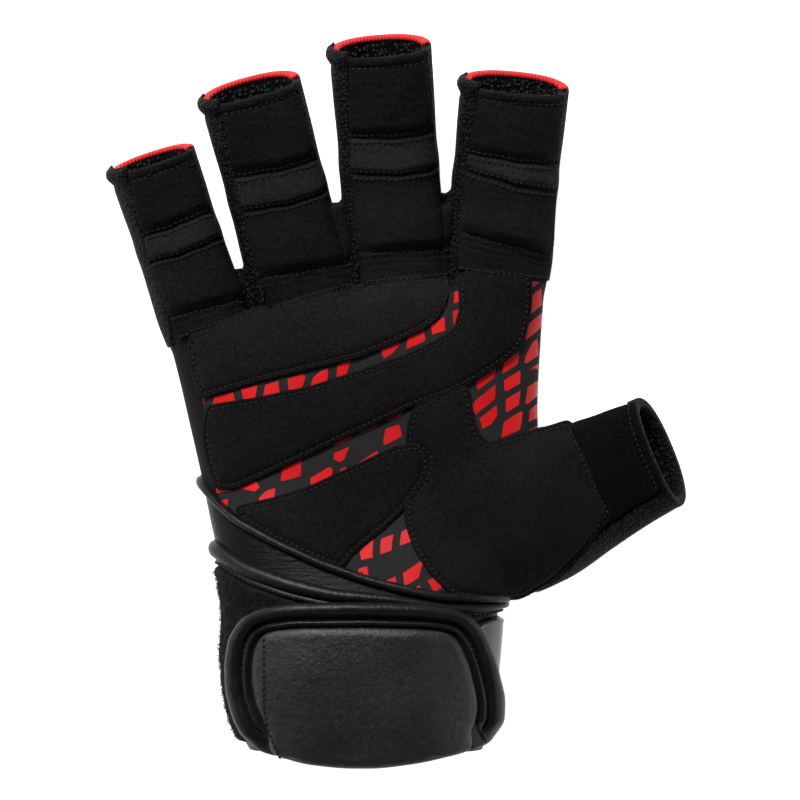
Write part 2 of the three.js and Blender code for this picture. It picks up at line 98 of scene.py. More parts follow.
# Palm pads: how far they are cut past their outlines, their height over the palm, how they
# puff up inside the seam and pucker along it
PAD_GROWN = 0.9
PAD_LIFT = 0.05
PAD_PUFF = 0.9
PUFF_REACH = 3.5
PUCKER = 0.14
PUCKER_PITCH = 1.75
# How far the thumb reaches from one of its sections to the next
THUMB_UNIT = 11.0
# Rolls, band and border
PIPING_WIDTH = 2.9
PIPING_HEIGHT = 1.9
BAND_WIDTH = 6.6
BAND_NARROWING = 2.6
BORDER_WIDTH = 7.2
BORDER_GROOVE = 4.5
# Rolls across the border: height, middle and radius
BORDER_ROLL = (2.7, 2.1, 2.25)
BORDER_RIDGE = (1.7, 5.9, 1.0)
# Loop patch and strap: size, thickness, and how much higher the strap lies past the flap
PATCH_SIZE = (60, 30.0)
PATCH_THICKNESS = 1.5
STRAP_THICKNESS = 1.9
STRAP_RISE = 3.2
# Flap and tab: heights over the hand, thickness, how far the panel lies in, the tab's seam
FLAP_LIFT = 2.6
FLAP_THICKNESS = 1.5
PANEL_LIFT = 4.1
PANEL_THICKNESS = 1.9
PANEL_INSET = 7.0
TAB_LIFT = 1.8
TAB_THICKNESS = 2.2
TAB_PUFF = 0.3
TAB_SEAM = 1.7
# Loop fibres
FIBRE_HEIGHTS = (0.35, 0.65)
FIBRE_RADIUS = 0.06
# How high a stitch rises out of the cloth
STITCH_RISE = 0.14

# How narrow a stitch gets at its ends, and how far it leans from its line
STITCH_ENDS = 0.62
STITCH_LEAN = 0.16
FIBRES = 5200
CORNER_STEPS = 3
# Where a place along the hand is sought, by halving: section numbers and how many times
SEARCH_FROM = -0.8
SEARCH_TO = 6.5
HALVINGS = 26
# The thumb's cap, in sections of the thumb: where it starts, its slant and its length
CAP_START = 2.88
CAP_SLANT = 0.40
CAP_LENGTH = 2.14
# Share of a palm pad's thickness that it has at its seam
SEAM_SHARE = 0.72
# How far the seams of the flexing part bow, as a share of the finger
SEAM_BOW = 0.004
# The band's roll: height in mm, and middle and radius as shares of the band's width
BAND_ROLL = (2.4, 0.36, 0.36)
# The column of the band's grid that its seam runs along, and the rows that show
BAND_SEAM = 18
BAND_SEAM_ROWS = slice(60, 330)
# Angles round a limb, degrees from the palm side
KNIT_EDGE = 112.0
TRIM_EDGE = 104.0
THUMB_KNIT_EDGE = 112.0
BINDING_ARC = (98, 262)
PIPING_ARC = (-100, 100)
PATCH_ARC = (-96, -8)
STRAP_ARC = (28, 262)
# Folds at a finger's root: place along, depth and width, mm; the index finger's are deeper
ROOT_FOLDS = ((0.0, 0.5, 0.6), (-1.6, 0.5, 0.5), (-3.4, 0.3, 0.5))
INDEX_FOLDS = 1.7
# Seams across the sections of a finger, and how far they lie from the section's end, mm
SECTION_SEAMS = {
    "base_pad": (("low", 1.3), ("high", 1.2), ("fold", -0.1)),
    "flex_pad": (("low", 1.0), ("high", 1.0)),
    "tip_pad": (("low", 1.2), ("high", HEM_SEAM)),
}

# Size of the cells that the form is fused from, mm
VOXEL = 0.9
# Reach of the tools that cut the form apart, mm
CLEAR_LOW = -60.0
CLEAR_HIGH = 120.0
PRISM_X = (-120, 150)
PRISM_END = 150
HALF_TOOL_X = (-110, 130)
HALF_TOOL_Y = (-150, 160)
HALF_TOOL_Z = (-50.0, 110.0)
HALVES_APART = 0.1
# Height that the nearest surface is sought from, where nothing lies straight below
WALL_MIDDLE = 20.0

# Printed cells: how many to a metre, how uneven, and the share that is left out
CELLS_ACROSS = 140.0
CELLS_ALONG = 158.0
CELL_DISORDER = 0.42
CELLS_LEFT_OUT = 0.13
# Their rows, in metres: the tilt, the bend, where it is nil, and the first row's place
ROW_TILT = 0.246
ROW_BEND = 3.4
ROW_FEET = (-0.0108, -0.0568)
ROW_START = 0.0122
# Where the print ends, in metres: to the fingers, the right, the left, and down by the thumb
PRINT_TOP = 0.0285
PRINT_RIGHT = 0.0445
PRINT_LEFT = -0.0580
PRINT_BOTTOM = -0.0400
THUMB_SIDE_FROM = 0.0172
# The middle that the creases of the flap's panel run out from, in metres
FAN_MIDDLE = (-0.0095, -0.0995)

# Lights: name, place, target, width, depth and power, in metres and watts
LIGHTS = (
    ("key_light", (-0.35, 0.95, 0.85), (0.0, 0.0, 0.02), 0.6, 0.4, 30.0),
    ("left_light", (-1.1, -0.05, 0.35), (0.0, 0.0, 0.02), 0.9, 0.35, 3.5),
    ("right_light", (1.1, 0.0, 0.35), (0.0, 0.0, 0.02), 0.9, 0.35, 4.0),
    ("low_light", (0.15, -1.0, 0.7), (0.0, -0.05, 0.02), 0.8, 0.4, 1.0),
)
WORLD_LIGHT = 0.10
FLOOR_GLOW = 0.93
# The camera, straight above: height in metres, sensor and lens in millimetres
CAMERA_HEIGHT = 1.3
CAMERA_SENSOR = 36.0
CAMERA_LENS = 192.0

# Sections of the hand from the cuff's end to the knuckles
HAND_ROWS = [
    # left x, left y, right x, right y, back, front, hollow, square
    (-0.350, -1.100, 0.172, -1.100, 1.32, 1.12, 0.0, 2.3),
    (-0.425, -0.930, 0.202, -0.930, 1.38, 1.19, 0.0, 2.3),
    (-0.450, -0.760, 0.213, -0.760, 1.38, 1.20, 0.0, 2.3),
    (-0.448, -0.600, 0.231, -0.585, 1.36, 1.14, 0.0, 2.3),
    (-0.466, -0.460, 0.277, -0.520, 1.30, 1.06, 0.1, 2.4),
    (-0.493, -0.320, 0.312, -0.420, 1.12, 1.10, 0.5, 2.5),
    (-0.520, -0.170, 0.325, -0.270, 1.00, 1.10, 1.0, 2.6),
    (-0.545, -0.040, 0.330, -0.110, 1.00, 1.03, 1.0, 2.6),
    (-0.566, 0.070, 0.329, 0.040, 1.00, 0.96, 0.8, 2.6),
    (-0.586, 0.165, 0.337, 0.220, 0.98, 0.84, 0.4, 2.6),
    (-0.598, 0.225, 0.349, 0.420, 0.90, 0.66, 0.0, 2.6),
]

# Sections of a finger from its root to its opening
FINGER_ROWS = [
    # along, width, back, front
    (0.08, 1.02, 1.05, 0.97),
    (0.26, 1.01, 0.99, 1.06),
    (0.44, 0.99, 0.94, 0.95),
    (0.53, 1.00, 0.90, 0.99),
    (0.62, 0.98, 0.87, 0.89),
    (0.80, 1.00, 0.84, 0.94),
    (1.00, 1.01, 0.80, 0.86),
]

# Fingers: root x and y, lean in degrees, length, width, and where the seams cross the
# left and the right side: at the palm, the base's fold, and below and above the flexing part
FINGERS = {
    "little": (-0.500, 0.246, 18.2, 0.750, 0.820,
               ((0.010, 0.010), (0.119, 0.085), (0.468, 0.468), (0.620, 0.630))),
    "ring": (-0.254, 0.336, 14.7, 0.908, 0.945,
             ((0.010, 0.016), (0.150, 0.105), (0.484, 0.474), (0.646, 0.628))),
    "middle": (-0.021, 0.375, 4.4, 1.000, 0.935,
               ((0.033, 0.039), (0.160, 0.146), (0.508, 0.503), (0.659, 0.654))),
    "index": (0.223, 0.396, -5.5, 0.815, 1.000,
              ((0.054, 0.034), (0.240, 0.145), (0.566, 0.499), (0.655, 0.642))),
}
# Half widths of the fingers, mm, and their seams
HALF_WIDTHS = {name: row[4] * FINGER_WIDTH / 2 for name, row in FINGERS.items()}
SEAMS = {name: row[5] for name, row in FINGERS.items()}

# Sections of the thumb from inside the palm to its opening
THUMB_ROWS = [
    # upper x, upper y, lower x, lower y, back, front, square
    (0.097, -0.100, 0.107, -0.540, 1.10, 1.45, 2.2),
    (0.217, -0.096, 0.249, -0.570, 1.25, 1.60, 2.2),
    (0.332, -0.080, 0.397, -0.505, 1.20, 1.42, 2.2),
    (0.417, -0.044, 0.510, -0.410, 1.02, 1.12, 2.2),
    (0.495, -0.008, 0.598, -0.338, 0.88, 0.88, 2.2),
    (0.575, 0.026, 0.680, -0.278, 0.82, 0.78, 2.2),
]

# Outlines on the palm, seen from above, as shares of the palm's width and length
OUTLINES = {
    "upper_palm_pad": [
        (-0.536, 0.222), (-0.380, 0.299), (-0.343, 0.302), (-0.286, 0.331), (-0.155, 0.373),
        (-0.116, 0.367), (-0.081, 0.388), (0.092, 0.408), (0.102, 0.364), (0.089, 0.313),
        (0.067, 0.272), (0.035, 0.245), (-0.032, 0.207), (-0.118, 0.165), (-0.252, 0.126),
        (-0.363, 0.094), (-0.450, 0.064), (-0.512, 0.043), (-0.530, 0.115), (-0.540, 0.180),
    ],
    "middle_palm_pad": [
        (-0.494, 0.008), (-0.373, 0.031), (-0.232, 0.067), (-0.118, 0.112), (0.003, 0.162),
        (0.077, 0.204), (0.122, 0.239), (0.139, 0.307), (0.134, 0.367), (0.141, 0.408),
        (0.169, 0.426), (0.307, 0.399), (0.305, 0.307), (0.290, 0.218), (0.265, 0.174),
        (0.223, 0.138), (0.159, 0.088), (0.097, 0.052), (0.003, 0.014), (-0.049, -0.019),
        (-0.165, -0.081), (-0.242, -0.126), (-0.316, -0.167), (-0.420, -0.224),
        (-0.469, -0.230), (-0.489, -0.155), (-0.502, -0.075),
    ],
    "heel_pad": [
        (-0.422, -0.292), (-0.326, -0.265), (-0.242, -0.233), (-0.138, -0.176),
        (-0.034, -0.117), (0.020, -0.105), (0.047, -0.126), (0.052, -0.161), (0.037, -0.212),
        (-0.007, -0.286), (-0.061, -0.348), (-0.138, -0.422), (-0.160, -0.461),
        (-0.212, -0.440), (-0.319, -0.381), (-0.405, -0.322),
    ],
    "thumb_pad": [
        (0.023, 0.011), (0.097, 0.043), (0.146, 0.073), (0.154, 0.026), (0.161, -0.031),
        (0.176, -0.078), (0.203, -0.105), (0.238, -0.093), (0.285, -0.075), (0.322, -0.063),
        (0.354, -0.055), (0.406, -0.034), (0.438, -0.141), (0.470, -0.227), (0.507, -0.304),
        (0.420, -0.428), (0.357, -0.498), (0.283, -0.551), (0.181, -0.554), (0.112, -0.540),
        (0.060, -0.476), (0.025, -0.414), (0.003, -0.336), (0.000, -0.283), (0.042, -0.218),
        (0.060, -0.164), (0.052, -0.123), (0.003, -0.099), (0.008, -0.040),
    ],
}
FLAP_OUTLINE = [
    (-0.442, -0.771), (-0.434, -0.680), (-0.405, -0.613), (-0.359, -0.581), (-0.281, -0.566),
    (-0.098, -0.563), (0.051, -0.569), (0.117, -0.581), (0.159, -0.607), (0.193, -0.672),
    (0.217, -0.762), (0.232, -0.850), (0.230, -0.929), (0.210, -0.979), (0.176, -0.994),
    (0.134, -1.009), (0.034, -1.035), (-0.066, -1.050), (-0.156, -1.050), (-0.256, -1.038),
    (-0.322, -1.014), (-0.364, -1.003), (-0.405, -0.950), (-0.434, -0.862),
]
TAB_OUTLINE = [
    (0.205, -0.950), (0.236, -0.945), (0.246, -0.900), (0.243, -0.845), (0.230, -0.835),
    (0.205, -0.840),
]
# Where the flap's rolled edge ends at the bottom, and between which sides the panel ends there
BORDER_ENDS = [(-0.350, -1.010), (0.190, -0.992)]
PANEL_SIDES = (-0.335, 0.165)
PANEL_BOTTOM = -0.985
# The seam down the left of the flap's panel, mm
FLAP_SEAM = [(-42.1, -66.6), (-42.1, -87.3), (-40.6, -94.8), (-37.0, -102.8)]
PALM_EDGE = [
    (-0.590, -0.090), (-0.546, -0.147), (-0.502, -0.215), (-0.455, -0.280), (-0.410, -0.322),
    (-0.319, -0.381), (-0.212, -0.440), (-0.106, -0.485), (-0.024, -0.511), (0.082, -0.538),
    (0.277, -0.542), (0.379, -0.535),
]
BAND_EDGE = [
    (-0.560, -0.345), (-0.517, -0.363), (-0.461, -0.398), (-0.397, -0.448), (-0.292, -0.492),
    (-0.184, -0.525), (-0.024, -0.547), (0.101, -0.571), (0.179, -0.571), (0.253, -0.552),
    (0.376, -0.522),
]


def place(outline):
    """The points of an outline in millimetres."""
    return np.array(outline, float) * (PALM_WIDTH, PALM_LENGTH)


def ease(low, high, x):
    """0 below low, 1 above high and a smooth rise between."""
    t = np.clip((np.asarray(x, float) - low) / (high - low), 0.0, 1.0)
    return t * t * (3 - 2 * t)


def mid_height(x, y):
    """Height of the middle of every wall section, where palm side and back meet."""
    kinked = np.maximum(0, y - 0.3 * PALM_LENGTH) / FINGER_LENGTH
    thumb = np.maximum(0, x - 0.35 * PALM_WIDTH) / (0.36 * PALM_WIDTH)
    beside = ease(0, 0.15 * PALM_LENGTH, 0.3 * PALM_LENGTH - y)
    wrist = ease(0, 0.38 * PALM_LENGTH, -0.2 * PALM_LENGTH - y)
    return (PALM_RISE + (WRIST_RISE - PALM_RISE) * wrist
            + FINGER_CURL * kinked ** 2 + THUMB_CURL * beside * thumb ** 2)


def curve_through(rows, t):
    """A smooth curve through the rows of a table, at row numbers t."""
    rows = np.asarray(rows, float)
    last = len(rows) - 1
    ends = np.vstack([2 * rows[0] - rows[1], rows, 2 * rows[-1] - rows[-2]])
    cell = np.clip(np.floor(t).astype(int), 0, last - 1)
    f = (np.clip(t, 0, last) - cell)[..., None]
    a, b, c, d = (ends[cell + k] for k in range(4))
    return 0.5 * (2 * b + (c - a) * f + (2 * a - 5 * b + 4 * c - d) * f ** 2
                  + (3 * b - a - 3 * c + d) * f ** 3)


class Limb:
    """A sleeve with rounded sections. Along it, t runs from t0 to t1, and past either
    end it goes straight on. Around it, angle 0 is the palm side and 90 degrees the right."""

    def __init__(self, t0, t1, unit, section, level=False):
        self.t0, self.t1, self.unit, self.section, self.level = t0, t1, unit, section, level

    def rings(self, t):
        """The sections at t: their middles, ways and sizes."""
        centre, side, half, back, front, square, rest, hollow = self.section(
            np.clip(t, self.t0, self.t1))
        side = side / np.linalg.norm(side, axis=-1, keepdims=True)
        axis = np.stack([-side[..., 1], side[..., 0]], -1)
        ahead = mid_height(*np.moveaxis(centre + 0.5 * axis, -1, 0))
        behind = mid_height(*np.moveaxis(centre - 0.5 * axis, -1, 0))
        slope = np.zeros_like(ahead) if self.level else np.arctan2(ahead - behind, 1.0)
        sin, cos = np.sin(slope)[..., None], np.cos(slope)[..., None]
        along = np.concatenate([axis * cos, sin], -1)
        up = np.concatenate([-axis * sin, cos], -1)
        middle = np.concatenate([centre, mid_height(centre[..., 0], centre[..., 1])[..., None]],
                                -1)
        past = (t - np.clip(t, self.t0, self.t1)) * self.unit
        middle = middle + along * past[..., None]
        across = np.concatenate([side, np.zeros_like(sin)], -1)
        return middle, across, up, half, back, front, square, rest, hollow

    def point(self, t, angle, lift=0.0):
        """Points on the sleeve, lifted off it by some millimetres."""
        t, angle, lift = np.broadcast_arrays(np.asarray(t, float), angle, lift)
        middle, across, up, half, back, front, square, rest, hollow = self.rings(t)
        cx, cz = np.sin(angle), np.cos(angle)
        x = np.sign(cx) * np.abs(cx) ** (2 / square)
        z = np.sign(cz) * np.abs(cz) ** (2 / square)
        height = np.where(cz > 0, front, back) + lift
        dip = np.where(cz > 0, hollow * np.exp(-((x - 0.05) / 0.5) ** 2) * z, 0)
        spot = (middle + across * (x * (half + lift))[..., None]
                + up * (z * height - dip)[..., None])
        spot[..., 2] = np.maximum(spot[..., 2], rest - lift)
        return spot

    def normal(self, t, angle):
        """Unit normals of the sleeve."""
        t, angle = np.broadcast_arrays(np.asarray(t, float), angle)
        dt, da = 0.2 / self.unit, 0.02
        along = self.point(t + dt, angle) - self.point(t - dt, angle)
        around = self.point(t, angle + da) - self.point(t, angle - da)
        n = np.cross(around, along)
        return n / np.maximum(np.linalg.norm(n, axis=-1, keepdims=True), 1e-9)


def hand_section(t):
    """The hand's sections: middle, way across, half width, back, front, squareness, the
    least height, and the palm's hollow."""
    row = curve_through(HAND_ROWS, t)
    left = row[..., 0:2] * (PALM_WIDTH, PALM_LENGTH)
    right = row[..., 2:4] * (PALM_WIDTH, PALM_LENGTH)
    centre = (left + right) / 2
    cuff = ease(0, 0.38 * PALM_LENGTH, -0.2 * PALM_LENGTH - centre[..., 1])
    return (centre, right - left, np.linalg.norm(right - left, axis=-1) / 2,
            row[..., 4] * PALM_BACK, row[..., 5] * PALM_FRONT, row[..., 7],
            STRAP_LIFT * cuff, row[..., 6] * PALM_HOLLOW)


def finger_section(name):
    """A function that gives a finger's sections, in the order of the hand's."""
    x, y, lean, length, _, _ = FINGERS[name]
    root = np.array([x * PALM_WIDTH, y * PALM_LENGTH])
    lean = math.radians(lean)
    axis = np.array([-math.sin(lean), math.cos(lean)])
    side = np.array([math.cos(lean), math.sin(lean)])
    length, half = length * FINGER_LENGTH, HALF_WIDTHS[name]
    rows = [(-ROOT_OVERLAP / length, 0.9, 0.9, 0.9)] + FINGER_ROWS
    stations = [row[0] for row in rows]

    def section(t):
        row = curve_through(rows, np.interp(t, stations, np.arange(len(rows))))
        nil = np.zeros_like(t)
        return (root + axis * (t * length)[..., None], side + nil[..., None],
                row[..., 1] * half, row[..., 2] * FINGER_BACK, row[..., 3] * FINGER_FRONT,
                nil + 2.3, nil, nil)
    return section


def thumb_section(t):
    """The thumb's sections, in the order of the hand's."""
    row = curve_through(THUMB_ROWS, t)
    upper = row[..., 0:2] * (PALM_WIDTH, PALM_LENGTH)
    lower = row[..., 2:4] * (PALM_WIDTH, PALM_LENGTH)
    nil = np.zeros_like(t)
    return ((upper + lower) / 2, lower - upper, np.linalg.norm(lower - upper, axis=-1) / 2,
            row[..., 4] * THUMB_SIDE, row[..., 5] * THUMB_SIDE, row[..., 6], nil, nil)


LIMBS = {"hand": Limb(0, 10, 10.0, hand_section, level=True),
         "thumb": Limb(0, 5, 10.0, thumb_section)}
for finger_name, (_, _, _, long, _, _) in FINGERS.items():
    finger_length = long * FINGER_LENGTH
    LIMBS[finger_name] = Limb(-ROOT_OVERLAP / finger_length, 1.0, finger_length,
                              finger_section(finger_name))
STALLS = ["little", "ring", "middle", "index", "thumb"]
# How much further the back of an opening reaches than its palm side, mm
BACK_REACH = {"little": 1.0, "ring": 1.7, "middle": 1.0, "index": 1.7, "thumb": 0.8}


def back_reach(name, angle):
    """How much further a limb's opening reaches at an angle round it, mm."""
    return BACK_REACH.get(name, 0.0) * np.clip(-np.cos(angle), 0, 1) ** 0.7


# Making meshes
def new_piece(name, points, faces, smooth=True):
    """A mesh object from points in the hand's millimetres."""
    spots = (np.asarray(points, float) + (ORIGIN[0], ORIGIN[1], 0.0)) * MM
    mesh = bpy.data.meshes.new(name)
    mesh.from_pydata(spots.tolist(), [], [tuple(f) for f in faces])
    mesh.validate()
    work = bmesh.new()
    work.from_mesh(mesh)
    bmesh.ops.recalc_face_normals(work, faces=work.faces)
    work.to_mesh(mesh)
    work.free()
    piece = bpy.data.objects.new(name, mesh)
    bpy.context.collection.objects.link(piece)
    if smooth:
        mesh.shade_smooth()
    return piece


def points_of(piece):
    """A piece's vertices back in the hand's millimetres."""
    spots = np.empty(len(piece.data.vertices) * 3)
    piece.data.vertices.foreach_get("co", spots)
    return spots.reshape(-1, 3) / MM - (ORIGIN[0], ORIGIN[1], 0.0)


def grid_faces(rows, columns, closed=False):
    """The faces of a grid of points, open or closed round into a tube."""
    faces = []
    for i in range(rows - 1):
        for j in range(columns if closed else columns - 1):
            a = i * columns + j
            b = i * columns + (j + 1) % columns
            faces.append((a, b, b + columns, a + columns))
    return faces


def sleeve(name, lift, start=0.0, end=0.0, around=96, spacing=1.2):
    """A closed tube of a limb. Start and end are how far it goes on past its ends."""
    limb = LIMBS[name]
    first, last = limb.t0 - start / limb.unit, limb.t1 + end / limb.unit
    span = (limb.t1 - limb.t0) * (limb.unit if limb.t1 <= 1 else 14.0)
    count = max(8, int((span + start + end) / spacing))
    t = np.linspace(first, last, count)
    angle = np.linspace(0, 2 * math.pi, around, endpoint=False)
    reach = back_reach(name, angle) / limb.unit * ease(limb.t1 - 0.2, limb.t1, t)[:, None]
    skin = limb.point(t[:, None] + reach, angle[None, :], lift)
    points = np.vstack([skin.reshape(-1, 3), skin[0].mean(0), skin[-1].mean(0)])
    faces = grid_faces(count, around, closed=True)
    low, high = len(points) - 2, len(points) - 1
    for j in range(around):
        k = (j + 1) % around
        faces.append((low, k, j))
        faces.append((high, (count - 1) * around + j, (count - 1) * around + k))
    return points, faces


def joined_tubes(tubes):
    """The points and faces of several tubes as one list of each."""
    points, faces, start = [], [], 0
    for spots, quads in tubes:
        points.append(spots)
        faces += [tuple(i + start for i in f) for f in quads]
        start += len(spots)
    return np.vstack(points), faces


def settled(piece):
    """Applies a piece's modifiers to its mesh."""
    graph = bpy.context.evaluated_depsgraph_get()
    made = bpy.data.meshes.new_from_object(piece.evaluated_get(graph))
    old = piece.data
    piece.modifiers.clear()
    piece.data = made
    bpy.data.meshes.remove(old)
    return piece


def fused(piece, voxel, passes):
    """Fuses overlapping tubes into one skin and rounds the valleys between them."""
    remesh = piece.modifiers.new("fuse", "REMESH")
    remesh.mode, remesh.voxel_size = "VOXEL", voxel * MM
    soften = piece.modifiers.new("soften", "SMOOTH")
    soften.factor, soften.iterations = 0.5, passes
    return settled(piece)


def cut(piece, tool, operation):
    """Joins, cuts or crosses a piece with a tool and deletes the tool."""
    step = piece.modifiers.new("cut", "BOOLEAN")
    step.object, step.operation, step.solver = tool, operation, "MANIFOLD"
    settled(piece)
    bpy.data.objects.remove(tool)
    return piece


def copy_of(piece, name):
    """A piece's twin with a mesh of its own, shown in renders."""
    twin = piece.copy()
    twin.data = piece.data.copy()
    twin.name, twin.hide_render = name, False
    bpy.context.collection.objects.link(twin)
    return twin


def tree_of(piece):
    """A search tree of a piece in the hand's millimetres."""
    piece.data.calc_loop_triangles()
    faces = [tuple(t.vertices) for t in piece.data.loop_triangles]
    return bvhtree.BVHTree.FromPolygons([Vector(p) for p in points_of(piece)], faces)


def dropped(tree, spots):
    """Points seen from above, laid on a surface: their heights and its normals there."""
    heights = np.empty(len(spots))
    normals = np.tile((0.0, 0.0, 1.0), (len(spots), 1))
    for i, (x, y) in enumerate(spots):
        hit, normal, _, _ = tree.ray_cast(Vector((x, y, CLEAR_HIGH)), Vector((0, 0, -1)))
        if hit is None:
            hit, normal, _, _ = tree.find_nearest(Vector((x, y, WALL_MIDDLE)))
        heights[i] = hit.z
        normals[i] = normal
    return heights, normals


def evenly(points, step, closed=True):
    """Points at even distances along a line."""
    line = np.vstack([points, points[:1]]) if closed else np.asarray(points)
    lengths = np.linalg.norm(np.diff(line, axis=0), axis=1)
    along = np.concatenate([[0], np.cumsum(lengths)])
    count = max(3, int(round(along[-1] / step)))
    at = np.linspace(0, along[-1], count, endpoint=not closed)
    return np.stack([np.interp(at, along, line[:, k]) for k in range(line.shape[1])], 1)


def soft_line(outline, softness=1.0, closed=True, step=0.5):
    """A line with even points and its corners rounded."""
    line = evenly(np.asarray(outline, float), step, closed)
    for _ in range(int(2 * (softness / step) ** 2)):
        if closed:
            line = (np.roll(line, 1, 0) + 2 * line + np.roll(line, -1, 0)) / 4
        else:
            line[1:-1] = (line[:-2] + 2 * line[1:-1] + line[2:]) / 4
    return line


def edge_distance(spots, line, closed=True):
    """The distance of each point from a line, and how far along it the nearest place is."""
    a = line
    b = np.roll(line, -1, 0)
    if not closed:
        a, b = line[:-1], line[1:]
    run = np.concatenate([[0], np.cumsum(np.linalg.norm(b - a, axis=1))])
    best = np.full(len(spots), 1e9)
    along = np.zeros(len(spots))
    for k in range(len(a)):
        d = b[k] - a[k]
        size = d @ d
        t = np.clip(((spots - a[k]) @ d) / max(size, 1e-12), 0, 1)
        gap = np.linalg.norm(spots - (a[k] + t[:, None] * d), axis=1)
        nearer = gap < best
        best[nearer] = gap[nearer]
        along[nearer] = run[k] + t[nearer] * math.sqrt(size)
    return best, along


def inside(spots, line):
    """Which points lie inside a closed line."""
    x, y = spots[:, 0], spots[:, 1]
    within = np.zeros(len(spots), bool)
    for (x0, y0), (x1, y1) in zip(line, np.roll(line, -1, 0)):
        crosses = (y0 > y) != (y1 > y)
        rise = (y1 - y0) if y1 != y0 else 1e-12
        within ^= crosses & (x < (x1 - x0) * (y - y0) / rise + x0)
    return within


def inward(line):
    """Unit vectors across a closed line towards its inside."""
    ahead = np.roll(line, -1, 0) - np.roll(line, 1, 0)
    n = np.stack([-ahead[:, 1], ahead[:, 0]], 1)
    n /= np.maximum(np.linalg.norm(n, axis=1, keepdims=True), 1e-9)
    area = np.sum(line[:, 0] * np.roll(line[:, 1], -1) - np.roll(line[:, 0], -1) * line[:, 1])
    return n if area > 0 else -n


def shrunk(line, distance, step=0.8):
    """A closed line moved inwards."""
    line = evenly(line, step)
    moved = line + inward(line) * distance
    gap, _ = edge_distance(moved, line)
    keep = inside(moved, line) & (gap > 0.93 * distance)
    return moved[keep]


def cut_cloth(outline, step=0.7):
    """Points that fill an outline, rows of them close to its edge, and their triangles."""
    edge = evenly(outline, step)
    spots = [edge]
    for inset in EDGE_ROWS:
        spots.append(shrunk(edge, inset, step))
    low, high = edge.min(0), edge.max(0)
    rows = np.arange(low[1], high[1], step * 0.866)
    grid = []
    for k, y in enumerate(rows):
        x = np.arange(low[0] + (k % 2) * step / 2, high[0], step)
        grid.append(np.stack([x, np.full_like(x, y)], 1))
    grid = np.vstack(grid)
    grid = grid[inside(grid, edge)]
    gap, _ = edge_distance(grid, edge)
    spots.append(grid[gap > EDGE_ROWS[-1] + 0.55 * step])
    spots = np.vstack(spots)
    count = len(edge)
    ring = [(i, (i + 1) % count) for i in range(count)]
    made = geometry.delaunay_2d_cdt([Vector(p) for p in spots], ring, [], 1, 1e-5)
    points = np.array([tuple(p) for p in made[0]])
    return points, [tuple(f) for f in made[2]], edge


def edges_of(face):
    """The directed edges of a face."""
    return zip(face, face[1:] + face[:1])


def boundary_of(faces):
    """The points along the edges that only one face has, in the order they run."""
    seen = dict.fromkeys(edge for face in faces for edge in edges_of(face))
    after = {a: b for a, b in seen if (b, a) not in seen}
    start = next(iter(after))
    loop, here = [start], after[start]
    while here != start:
        loop.append(here)
        here = after[here]
    return loop


def slab(name, top, faces, floor):
    """A closed piece from a top surface, and floor points under each of its points."""
    count = len(top)
    points = np.vstack([top, floor])
    under = [tuple(i + count for i in reversed(f)) for f in faces]
    sides = [(b, a, a + count, b + count) for a, b in edges_of(boundary_of(faces))]
    return new_piece(name, points, list(faces) + under + sides)


def grid_slab(name, top, floor, closed=False):
    """A closed piece from two grids of points, one over the other."""
    rows, columns = top.shape[:2]
    points = np.vstack([top.reshape(-1, 3), floor.reshape(-1, 3)])
    count = rows * columns
    over = grid_faces(rows, columns, closed)
    faces = over + [tuple(i + count for i in reversed(f)) for f in over]
    wide = columns if closed else columns - 1
    for i in (0, rows - 1):
        for j in range(wide):
            a, b = i * columns + j, i * columns + (j + 1) % columns
            faces.append((b, a, a + count, b + count) if i == 0
                         else (a, b, b + count, a + count))
    if not closed:
        for j in (0, columns - 1):
            for i in range(rows - 1):
                a, b = i * columns + j, (i + 1) * columns + j
                faces.append((a, b, b + count, a + count) if j == 0
                             else (b, a, a + count, b + count))
    return new_piece(name, points, faces)


def noise_at(spots, size, seed=0):
    """Smooth noise from about -1 to 1, the same each time."""
    total = np.zeros(len(spots))
    draw = np.random.RandomState(seed)
    for _ in range(14):
        wave = draw.normal(size=3)
        wave *= 2 * math.pi / size * draw.uniform(0.5, 1.4) / np.linalg.norm(wave)
        total += np.sin(spots @ wave + draw.uniform(0, 2 * math.pi))
    return total / 4.2


def dome(t):
    """1 in the middle and 0 at -1 and 1, as half a circle rises."""
    return np.sqrt(np.clip(1 - t ** 2, 0, 1))


def rolled(w, height, middle, radius):
    """The height of a roll that lies across a strip."""
    return height * dome((w - middle) / radius)


def edge_round(d, radius):
    """0 at an edge and 1 past the radius, as a rolled edge rises."""
    return dome(np.clip(1 - d / radius, 0, 1))


def bump(d, where, width):
    """1 at a place, falling off on both sides of it."""
    return np.exp(-((d - where) / width) ** 2)


# Shader building
class Wire:
    """A shader value that can be added, multiplied and compared like a number."""

    def __init__(self, shader, socket):
        self.shader, self.socket = shader, socket

    def __add__(self, other):
        return self.shader.math("ADD", self, other)

    def __sub__(self, other):
        return self.shader.math("SUBTRACT", self, other)

    def __mul__(self, other):
        return self.shader.math("MULTIPLY", self, other)

    def __pow__(self, other):
        return self.shader.math("POWER", self, other)

    def __gt__(self, other):
        return self.shader.math("GREATER_THAN", self, other)

    def __lt__(self, other):
        return self.shader.math("LESS_THAN", self, other)

    def __radd__(self, other):
        return self.shader.math("ADD", other, self)

    def __rsub__(self, other):
        return self.shader.math("SUBTRACT", other, self)

    def __rmul__(self, other):
        return self.shader.math("MULTIPLY", other, self)


